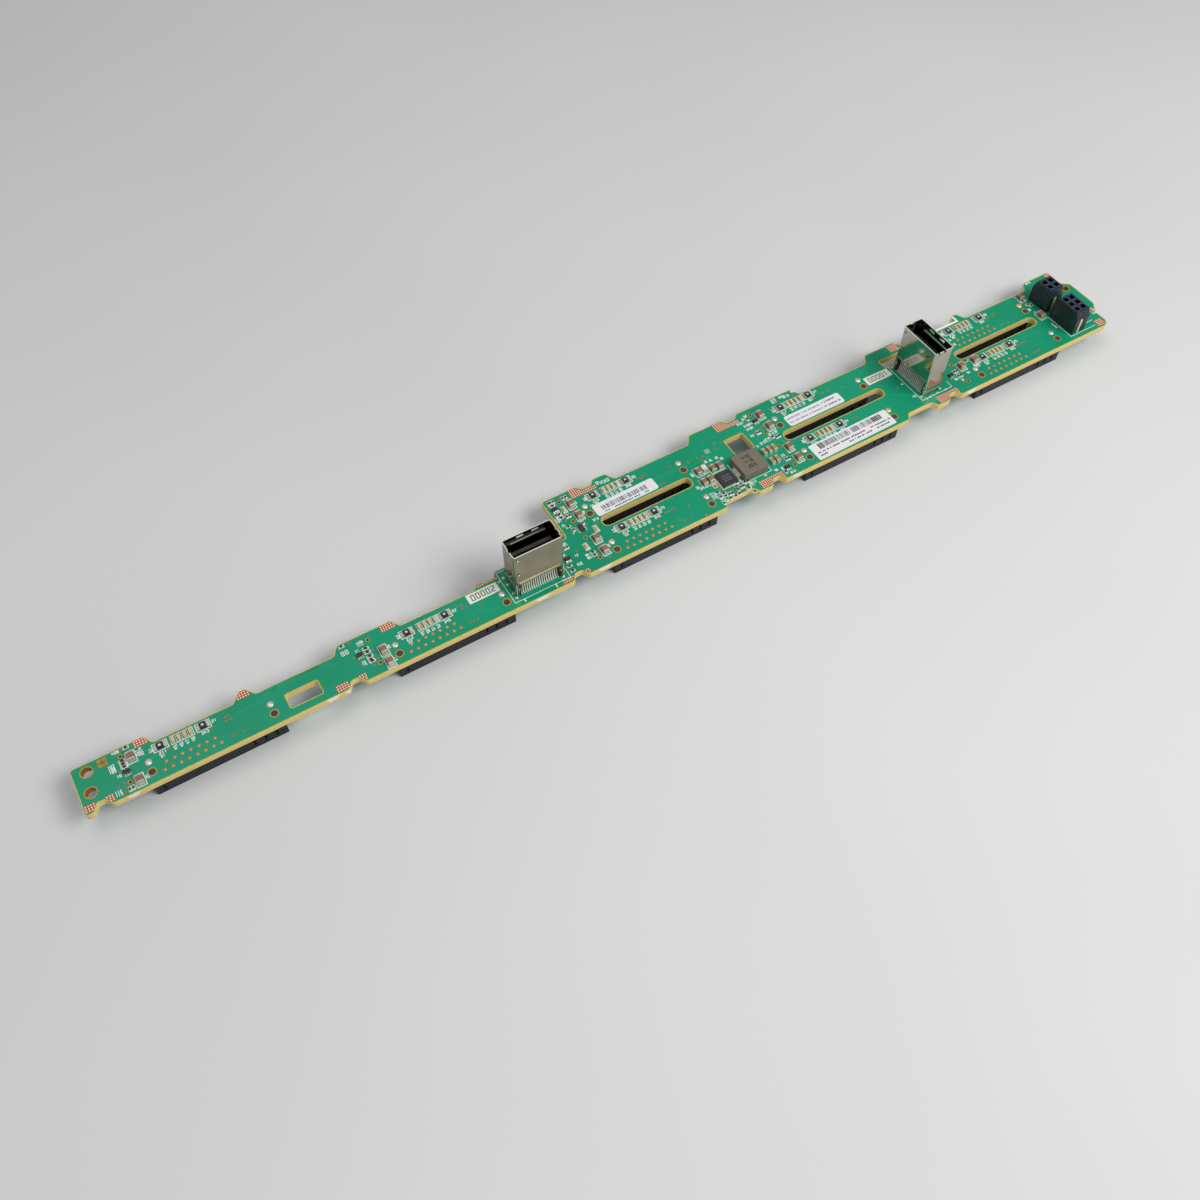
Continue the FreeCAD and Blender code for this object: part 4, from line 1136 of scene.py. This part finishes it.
def outline_marks(piece):
    """Lines and corners round the ports, the headers, the inductor and the row of the regulator."""
    low, high = corners("port_shell_2")
    left, right, front, back = low.x - 1.5, high.x + 1.4, low.y - 1.4, high.y + 3.9
    silk_line(piece, 0.2, (left, back), (left, front), (right, front), (right, low.y + 4.0))
    silk_line(piece, 0.2, (left, back), (low.x + 1.6, back))
    silk_line(piece, 0.5, (low.x + 1.8, low.y - 1.5), (low.x + 1.8, low.y - 2.6))
    silk_line(piece, 0.45, (low.x + 13.6, low.y - 1.5), (low.x + 13.6, low.y - 2.9))
    low, high = corners("port_shell_1")
    left, right, front = low.x - 1.0, high.x + 4.6, low.y - 1.3
    silk_line(piece, 0.2, (left, high.y + 1.4), (left, front), (right, front), (right, low.y + 1.9))
    silk_line(piece, 0.35, (left, low.y + 2.0), (low.x - 3.0, low.y + 2.0))
    silk_line(piece, 0.35, (low.x - 2.1, low.y + 1.4), (low.x - 2.1, low.y + 2.7))
    silk_line(piece, 0.8, (low.x - 2.1, low.y + 9.0), (low.x - 2.1, low.y + 9.6))
    silk_line(piece, 0.2, (low.x - 3.0, high.y - 1.9), (left, high.y - 1.4))
    low, high = corners("power_header_2")
    left, front = low.x - 0.6, low.y - 0.6
    silk_line(piece, 0.22, (left, high.y), (left, front), (high.x + 5.6, front))
    silk_line(piece, 0.22, (high.x + 0.9, low.y + 2.2), (high.x + 6.8, low.y + 2.2))
    low, high = corners("power_inductor")
    left, right, front = low.x - 0.8, high.x + 1.2, low.y - 0.6
    silk_line(piece, 0.2, (left, high.y), (left, front), (right, front), (right, low.y + 2.6))
    silk_frame(piece, *centre_of("regulator_chip"), 7.4, 7.4)
    for x, y, length, width in [
        (-35.9, 10.6, 2.2, 3.6), (-38.6, 10.8, 3.0, 4.4), (-31.9, 9.4, 5.6, 4.0), (-38.2, 5.6, 5.4, 4.2),
    ]:
        silk_frame(piece, *spot(3, 0, x, y), length, width)
    x, y = spot(4, 1, 1.0, 5.9)
    silk_line(piece, 0.9, (x - 1.0, y), (x + 10.6, y), (x + 10.6, y + 2.8))


def silk_marks():
    """White lines, frames and reference figures."""
    piece = Piece("silk_marks")
    for bay in BAYS.values():
        bay_marks(piece, bay)
    for node, wider, longer in [("input_capacitors", 0.7, 1.4), ("small_capacitors", 0.5, 1.2)]:
        for (x, y), (width, length, _) in blocks_of(node):
            silk_frame(piece, x, y, width + wider, length + longer, 0.26)
    for bay, marks in MARKS.items():
        for x, y, *rest in marks:
            mark(piece, *spot(*bay, x, y), *rest)
    for bay, places in TINY.items():
        for x, y, turn in places:
            size = (1.0, 1.9) if turn else (1.9, 1.0)
            silk_frame(piece, *spot(*bay, x, y), *size, 0.24, 0.018)
    for place, _ in blocks_of("resistors"):
        silk_frame(piece, *place, 2.2, 1.15, 0.22, 0.022)
    outline_marks(piece)
    piece.make("label_paper")


TRACKS = [
    (1, 0, [(24, -1.6), (31, -1.8), (34, -4.2), (46, -5.6)]), (1, 0, [(24, -2.4), (30.5, -2.6), (34, -5.0)]),
    (1, 0, [(-40, 4.6), (-24, 4.9), (-20, 3.2)]), (1, 0, [(-40, 3.9), (-25, 4.1), (-20, 2.4)]),
    (2, 1, [(28, -2.0), (40, -1.8), (52, 4.0), (58, 4.2)]), (2, 1, [(28, -2.8), (41, -2.7), (52, 3.0)]),
    (3, 1, [(27, -1.2), (37, -1.2), (46, 4.4), (55, 5.0)]), (3, 0, [(45, 6.0), (52, 1.0), (56, 0.4)]),
    (3, 0, [(45, 5.2), (51.6, 0.2), (56, -0.4)]), (4, 0, [(28, 3.2), (38, 3.0), (41, 0.8)]),
    (0, 0, [(28, 2.4), (36, 2.6), (42, 5.6)]), (0, 0, [(28, 1.6), (37, 1.8), (43, 4.8), (60, 5.0)]),
]


TRACK_WIDTH = 0.16
TRACK_PITCH = 0.36


def traces():
    """A few pairs of tracks that stand up under the mask, from the ports to the bays."""
    piece = Piece("mask_tracks")
    for column, row, path in TRACKS:
        for shift in (0, TRACK_PITCH):
            points = [spot(column, row, x, y + shift) for x, y in path]
            piece.stroke(points, TRACK_WIDTH, TOP - 0.01, TOP + 0.012, "mask_over_trace")
    piece.make("solder_mask")


# ------------------------------------------------------------------------------ labels and plates

# Widths of the bars and of the gaps between them.
FINE_BARS = ([0.12, 0.16, 0.24, 0.34], [0.14, 0.2, 0.3, 0.42])
BROAD_BARS = ([0.34, 0.5, 0.64], [0.2, 0.3])
# Each label's runs of bars: start and end, from the right end where negative, low, high, seed, widths.
BARS = {
    1: [(2.9, -3.4, -0.9, 1.15, 11, FINE_BARS)],
    2: [],
    3: [
        (3.4, 5.2, 0.4, 3.1, 20, BROAD_BARS), (5.6, 17.8, 0.5, 3.0, 21, FINE_BARS),
        (22.6, 28.0, 0.6, 3.0, 22, FINE_BARS), (28.2, 32.4, 0.6, 3.0, 19, BROAD_BARS),
    ],
}
# Each label's lines of dashes: start and end in the same way, y, height, seed and ink.
DASHES = {
    1: [
        (3.2, 5.2, -1.75, 0.5, 12, "label_ink"), (7.0, -8.0, -1.75, 0.5, 13, "label_ink"),
        (-5.6, -4.2, -1.75, 0.5, 14, "label_ink"),
    ],
    2: [
        (0.8, -9.5, 0.95, 0.75, 15, "label_faint_ink"), (-8.4, -2.6, 1.1, 0.8, 16, "label_mid_ink"),
        (0.8, -9.5, -1.0, 0.7, 17, "label_faint_ink"), (-8.4, -1.2, -0.95, 0.8, 18, "label_mid_ink"),
    ],
    3: [
        (1.6, 10.6, -0.75, 0.62, 23, "label_ink"), (11.8, 22.6, -0.75, 0.62, 24, "label_ink"),
        (25.6, 34.0, -0.75, 0.62, 25, "label_ink"), (1.6, 4.4, -2.2, 0.62, 26, "label_ink"),
        (14.6, 24.6, -2.2, 0.62, 27, "label_ink"), (27.4, 32.6, -2.2, 0.62, 28, "label_ink"),
    ],
}


def rounded_rectangle(length, width, radius, steps=5):
    points = []
    for quarter, (sx, sy) in enumerate([(1, 1), (-1, 1), (-1, -1), (1, -1)]):
        for step in range(steps + 1):
            turn = math.pi / 2 * (quarter + step / steps)
            points.append((
                sx * (length / 2 - radius) + radius * math.cos(turn),
                sy * (width / 2 - radius) + radius * math.sin(turn),
            ))
    return points


def slab(piece, node, corner):
    """A label's paper with rounded corners, in the place and turn of its CAD sheet.

    Gives the pen on its face, and its length.
    """
    points = sorted({(round(v.co.x / MM, 4), round(v.co.y / MM, 4)) for v in NODES[node].data.vertices})
    low = Vector(min(points, key=lambda p: p[0] + p[1]))
    right = Vector(max(points, key=lambda p: p[0] - p[1]))
    high = Vector(max(points, key=lambda p: p[0] + p[1]))
    along, up = right - low, high - right
    pen = piece.at(*(low + high) / 2, math.degrees(math.atan2(along.y, along.x)))
    height = corners(node)[1].z - TOP
    pen.prism(rounded_rectangle(along.length, up.length, corner), 0, height, "label_stock")
    return pen.moved(0, 0, height), along.length


def print_box(pen, start, end, low, high, ink, top=0.012):
    pen.prism([(start, low), (end, low), (end, high), (start, high)], -0.01, top, ink)


def labels():
    """Paper labels with invented bars, and with dashes for print too small to read."""
    piece = Piece("label_sheets")
    for index, corner in ((1, 0.9), (2, 0.9), (3, 0.5)):
        pen, length = slab(piece, LABELS[index - 1], corner)

        def along(place):
            return place + length / 2 * (-1 if place > 0 else 1)

        for start, end, low, high, seed, (widths, gaps) in BARS[index]:
            chance = random.Random(seed)
            x = along(start)
            while x < along(end):
                width = chance.choice(widths)
                print_box(pen, x, x + width, low, high, "label_ink")
                x += width + chance.choice(gaps)
        for start, end, y, height, seed, ink in DASHES[index]:
            chance = random.Random(seed)
            x = along(start)
            while x < along(end):
                width = chance.uniform(0.3, 0.75)
                line = y + chance.uniform(-0.05, 0.05)
                print_box(pen, x, x + width, line - height / 2, line + height / 2, ink)
                x += width + chance.choice([0.16, 0.2, 0.24, 0.7])
        if index == 3:
            print_box(pen, along(18.5), along(21.9), 0.6, 3.0, "label_faint_ink", 0.006)
    piece.make("label_paper", *LABELS)


def port_plates():
    """White printed plates beside the ports, with plain figures."""
    piece = Piece("port_plates")
    for column, row, x, y, text in [(1, 0, 33.6, 3.5, "00002"), (3, 1, 46.4, -2.4, "00001")]:
        pen = piece.at(*spot(column, row, x, y))
        pen.prism(rectangle(11.3, 3.9), -0.01, 0.02, "plate_white")
        pen.figures(text, 2.1, "plate_green", 0.34, 0.035)
    piece.make("label_paper")


# ------------------------------------------------------------------------------ the larger parts


def sizes_of(node):
    """A node's length, its width and its height over the board."""
    low, high = corners(node)
    return high.x - low.x, high.y - low.y, high.z - TOP


def inductor():
    """A pressed powder coil: bevelled top and side terminals."""
    piece = Piece("coil_body")
    length, width, tall = sizes_of("power_inductor")
    pen = piece.at(*centre_of("power_inductor"))
    full = rectangle(length, width, 0.22)
    top = rectangle(length - 0.36, width - 0.36, 0.16)
    loops = [at_height(full, 0.12), at_height(full, tall - 0.2), at_height(top, tall - 0.02)]
    pen.loft(loops, "inductor_powder")
    for side in (-1, 1):
        pen.prism(rectangle(0.3, 4.6, 0, side * (length / 2 - 0.05)), 0, 1.5, "lead_tin")
        pen.prism(rectangle(1.2, 4.2, 0.1, side * (length / 2 + 0.25)), -0.01, 0.2, "solder")
    for index, text in enumerate(("470", "118", "203")):
        line = pen.moved(-0.2, 2.3 - 2.2 * index, tall - 0.02)
        line.figures(text, 1.3, "fuse_black", 0.26, 0.016)
    piece.make("ferrite", "power_inductor")


PAD_COUNT = 8
PAD_PITCH = 0.65


def regulator():
    """The switching regulator in its flat package, with its edge pads."""
    piece = Piece("regulator_body")
    length, width, tall = sizes_of("regulator_chip")
    pen = piece.at(*centre_of("regulator_chip"))
    pen.block(length, width, 0.05, tall, "chip_epoxy", 0.05)
    dot = circle(0.28, 14, -length / 2 + 0.8, width / 2 - 0.8)
    pen.prism(dot, tall - 0.02, tall + 0.006, "fuse_black")
    for row in range(3):
        for step in range(3):
            line = rectangle(0.84, 0.4, 0, -1.2 + step * 1.15, 0.9 - row * 1.1)
            pen.prism(line, tall - 0.02, tall + 0.004, "chip_print")
    for step in range(PAD_COUNT):
        offset = (step - (PAD_COUNT - 1) / 2) * PAD_PITCH
        for side in (-1, 1):
            pen.block(0.34, 0.62, 0, 0.2, "pale_pad_and_painted_glint", 0.03, offset, side * (width / 2 + 0.2))
            pen.block(0.62, 0.34, 0, 0.2, "pale_pad_and_painted_glint", 0.03, side * (length / 2 + 0.2), offset)
    piece.make("chip_epoxy", "regulator_chip")


PORT_HALF_LENGTH = 9.0
PORT_HALF_WIDTH = 4.2


def solder_joint(pen, radius, rise):
    pen.prism(circle(radius, 14), -0.02, 0.02, "hatch_pale")
    pen.dome(0.4, 0.01, rise, "solder")


def port_trim():
    """The ports' embossed stops, solder tails and end posts."""
    piece = Piece("port_trim")
    left, front = -PORT_HALF_LENGTH, -PORT_HALF_WIDTH
    for node, turn in (("port_shell_1", -90.0), ("port_shell_2", 0.0)):
        pen = piece.at(*centre_of(node), turn)
        tall = sizes_of(node)[2]
        for drop in (2.0, 9.6):
            stop = pen.moved(left + 1.3, front + 0.02, tall - drop).turned(90, "X")
            stop.dome(0.62, 0, 0.42, "shield_steel", 18, 4)
        for drop in (1.4, 8.6):
            stop = pen.moved(left + 0.02, front + 1.6, tall - drop).turned(-90, "Y")
            stop.dome(0.5, 0, 0.3, "shield_steel", 18, 4)
        for x, y in [
            (left - 0.15, front + 0.2), (left - 0.2, -1.9), (left - 0.2, 2.2), (left - 0.2, -front + 1.2),
            (-left - 0.6, front - 0.1),
        ]:
            solder_joint(pen.moved(x, y), 0.5, 0.28)
        for side in (-1, 1):
            post = pen.moved(side * (PORT_HALF_LENGTH - 1.1), front + 0.75)
            post.block(1.5, 0.9, 0.3, 5.6, "core_plastic", 0.12)
            post.moved(0, -0.42, 3.4).turned(90, "X").dome(0.42, 0, 0.22, "terminal_tin")
            edge = pen.moved(side * (PORT_HALF_LENGTH - 0.28), front + 0.3)
            edge.block(0.4, 0.34, 0.0, 6.3, "lead_tin", 0.05)
    low, _ = corners("port_shell_1")
    for x, y in [(1.0, -1.2), (2.6, -1.2), (6.4, -1.0), (10.2, -1.2), (4.2, 0.5), (8.6, 0.4)]:
        solder_joint(piece.at(low.x + x, low.y + y), 0.46, 0.25)
    piece.make("shield")


WAY_PITCH = 3.0


def header_trim():
    """Rims of the headers' wells, their ribs and their latches, in a lighter blue than the housing as a
    painted highlight.
    """
    piece = Piece("header_trim")
    for index, ways in ((1, 2), (2, 3)):
        low, high = corners(f"power_header_{index}")
        middle_x, middle_y = high.x - 3.25, (low.y + high.y) / 2
        tall = high.z - TOP
        for column in (-0.5, 0.5):
            for step in range(ways):
                y = middle_y + (step - (ways - 1) / 2) * WAY_PITCH
                pen = piece.at(middle_x + column * WAY_PITCH, y, 0, tall)
                pen.band(rectangle(2.62, 2.62, 0.3), rectangle(2.3, 2.3, 0.25), -0.02, 0.12, "header_rib_painted_highlight")
        piece.at(low.x + 0.4, middle_y, 0, tall - 3.9).block(0.5, 1.3, 0, 2.2, "header_rib_painted_highlight", 0.1)
        reach = (high.y - low.y) / 2
        rib = [(-0.3, reach - 1.25), (0.3, reach - 1.25), (0.3, reach - 0.35), (-0.3, reach - 0.35)]
        crest = [(x, min(y, reach - 0.95)) for x, y in rib]
        for turn in (180, 0):
            for x in (-1.55, 1.55):
                pen = piece.at(middle_x + x, middle_y, turn, tall - 3.1)
                pen.loft([at_height(rib, 0), at_height(crest, 2.3)], "header_rib_painted_highlight")
    piece.make("header_plastic")


# Column, start and end of each broken tab's remnant, from the front row's left locks.
REMNANTS = [
    (0, -9.0, -5.0), (0, 54.0, 58.8), (0, 60.4, 62.4), (1, 47.0, 53.0), (2, -9.6, -4.4), (3, -10.6, -6.0),
    (4, -10.8, -6.0),
]
FIBRE_STEP = 0.35


def edge_remnants():
    """Whitish torn laminate where the panel's tabs broke off the front edge."""
    piece = Piece("tab_remnants")
    for column, start, end in REMNANTS:
        start, end = spot(column, 0, start, 0)[0], spot(column, 0, end, 0)[0]
        count = int((end - start) / FIBRE_STEP)
        lows, highs = [], []
        for step in range(count + 1):
            x = start + (end - start) * step / count
            fade = min(1.0, 4 * min(step, count - step) / count)
            y = front_edge(x) - STRIP_STAND
            lows.append((x, y, TOP - 0.3 - 1.5 * fade + dice.uniform(0, 0.4) * fade))
            highs.append((x, y, TOP - 0.06 - dice.uniform(0, 0.2)))
        for step in range(count):
            ring = [lows[step], lows[step + 1], highs[step + 1], highs[step]]
            piece.loft([[(x, y + 0.3, z) for x, y, z in ring], ring], "torn_fibre")
    piece.make("solder_mask")


# ------------------------------------------------------------------------------- build everything


EASE_ANGLE = math.radians(35)


def dress(node, material, ease_mm=0.0):
    """Gives a CAD node its finish, and eases its edges with modifiers only."""
    thing = NODES[node]
    thing.data.materials.clear()
    thing.data.materials.append(MATERIALS[material])
    if ease_mm:
        thing.modifiers.new("weld", "WELD").merge_threshold = 1e-6
        ease = thing.modifiers.new("ease", "BEVEL")
        ease.width = ease_mm * MM
        ease.segments = 2
        ease.limit_method = "ANGLE"
        ease.angle_limit = EASE_ANGLE
        ease.harden_normals = False


for bay in BAYS.values():
    dress(f"drive_socket_{bay}", "socket_plastic", 0.12)
    dress(f"drive_socket_contacts_{bay}", "contact_gold")
# Port 2's shell takes the steel with the painted reflection.
for index, steel in ((1, "shield_steel"), (2, "shield_steel_painted_reflection")):
    dress(f"port_shell_{index}", steel, 0.06)
    dress(f"port_core_{index}", "core_plastic", 0.06)
    dress(f"port_contacts_{index}", "port_lead")
    dress(f"power_header_{index}", "header_plastic", 0.14)
    dress(f"power_header_pins_{index}", "contact_gold")
dress("header_clips", "clip_tin")

for build in (
    board_body, bare_borders, board_plating, solder_drops, hatched_pads, copper_details, soldered_parts,
    tiny_parts, silk_marks, traces, labels, port_plates, inductor, regulator, port_trim, header_trim,
    edge_remnants,
):
    build()

# --------------------------------------------------------------------------- floor, light, camera


def in_scene(name, data):
    """Puts a thing in the scene that isn't part of the object."""
    thing = bpy.data.objects.new(name, data)
    bpy.context.scene.collection.objects.link(thing)
    return thing


def area_light(name, place_mm, target_mm, size_mm, power, tint=(1, 1, 1)):
    data = bpy.data.lights.new(name, "AREA")
    data.shape = "RECTANGLE"
    data.size, data.size_y = [length * MM for length in size_mm]
    data.energy = power
    data.color = tint
    thing = in_scene(name, data)
    thing.location = Vector(place_mm) * MM
    thing.rotation_euler = (Vector(target_mm) - Vector(place_mm)).to_track_quat("-Z", "Y").to_euler()


FLOOR_SIZE = 12000
floor_mesh = bpy.data.meshes.new("studio_floor")
floor_corners = [point * MM for point in map(Vector, at_height(rectangle(FLOOR_SIZE, FLOOR_SIZE), 0))]
floor_mesh.from_pydata(floor_corners, [], [(0, 1, 2, 3)])
floor_mesh.materials.append(MATERIALS["pale_floor"])
in_scene("studio_floor", floor_mesh)
area_light("key_light", (380, -560, 780), (20, 0, 0), (600, 420), 7.2, (1.0, 0.985, 0.96))
area_light("soft_overhead", (-260, 120, 1100), (0, 0, 0), (900, 700), 2.6)

world = bpy.data.worlds.new("studio_world")
bpy.context.scene.world = world
world.use_nodes = True
world.node_tree.nodes["Background"].inputs["Color"].default_value = (1.0, 1.0, 1.0, 1.0)
world.node_tree.nodes["Background"].inputs["Strength"].default_value = 0.3

VIEW_AZIMUTH = math.radians(30.88)
VIEW_ELEVATION = math.radians(55.26)
VIEW_DISTANCE = 380.8
VIEW_TARGET = Vector((-37.84, -28.47, TOP))

camera_data = bpy.data.cameras.new("camera")
camera_data.lens = 34.757
camera_data.sensor_width = 36.0
camera_data.clip_start = 0.01
camera_data.clip_end = 50
camera = in_scene("camera", camera_data)
forward = Vector((
    math.sin(VIEW_AZIMUTH) * math.cos(VIEW_ELEVATION),
    math.cos(VIEW_AZIMUTH) * math.cos(VIEW_ELEVATION),
    -math.sin(VIEW_ELEVATION),
))
camera.location = (VIEW_TARGET - forward * VIEW_DISTANCE) * MM
camera.rotation_euler = forward.to_track_quat("-Z", "Y").to_euler()
bpy.context.scene.camera = camera
bpy.context.scene.view_settings.view_transform = "Standard"

bpy.context.view_layer.update()
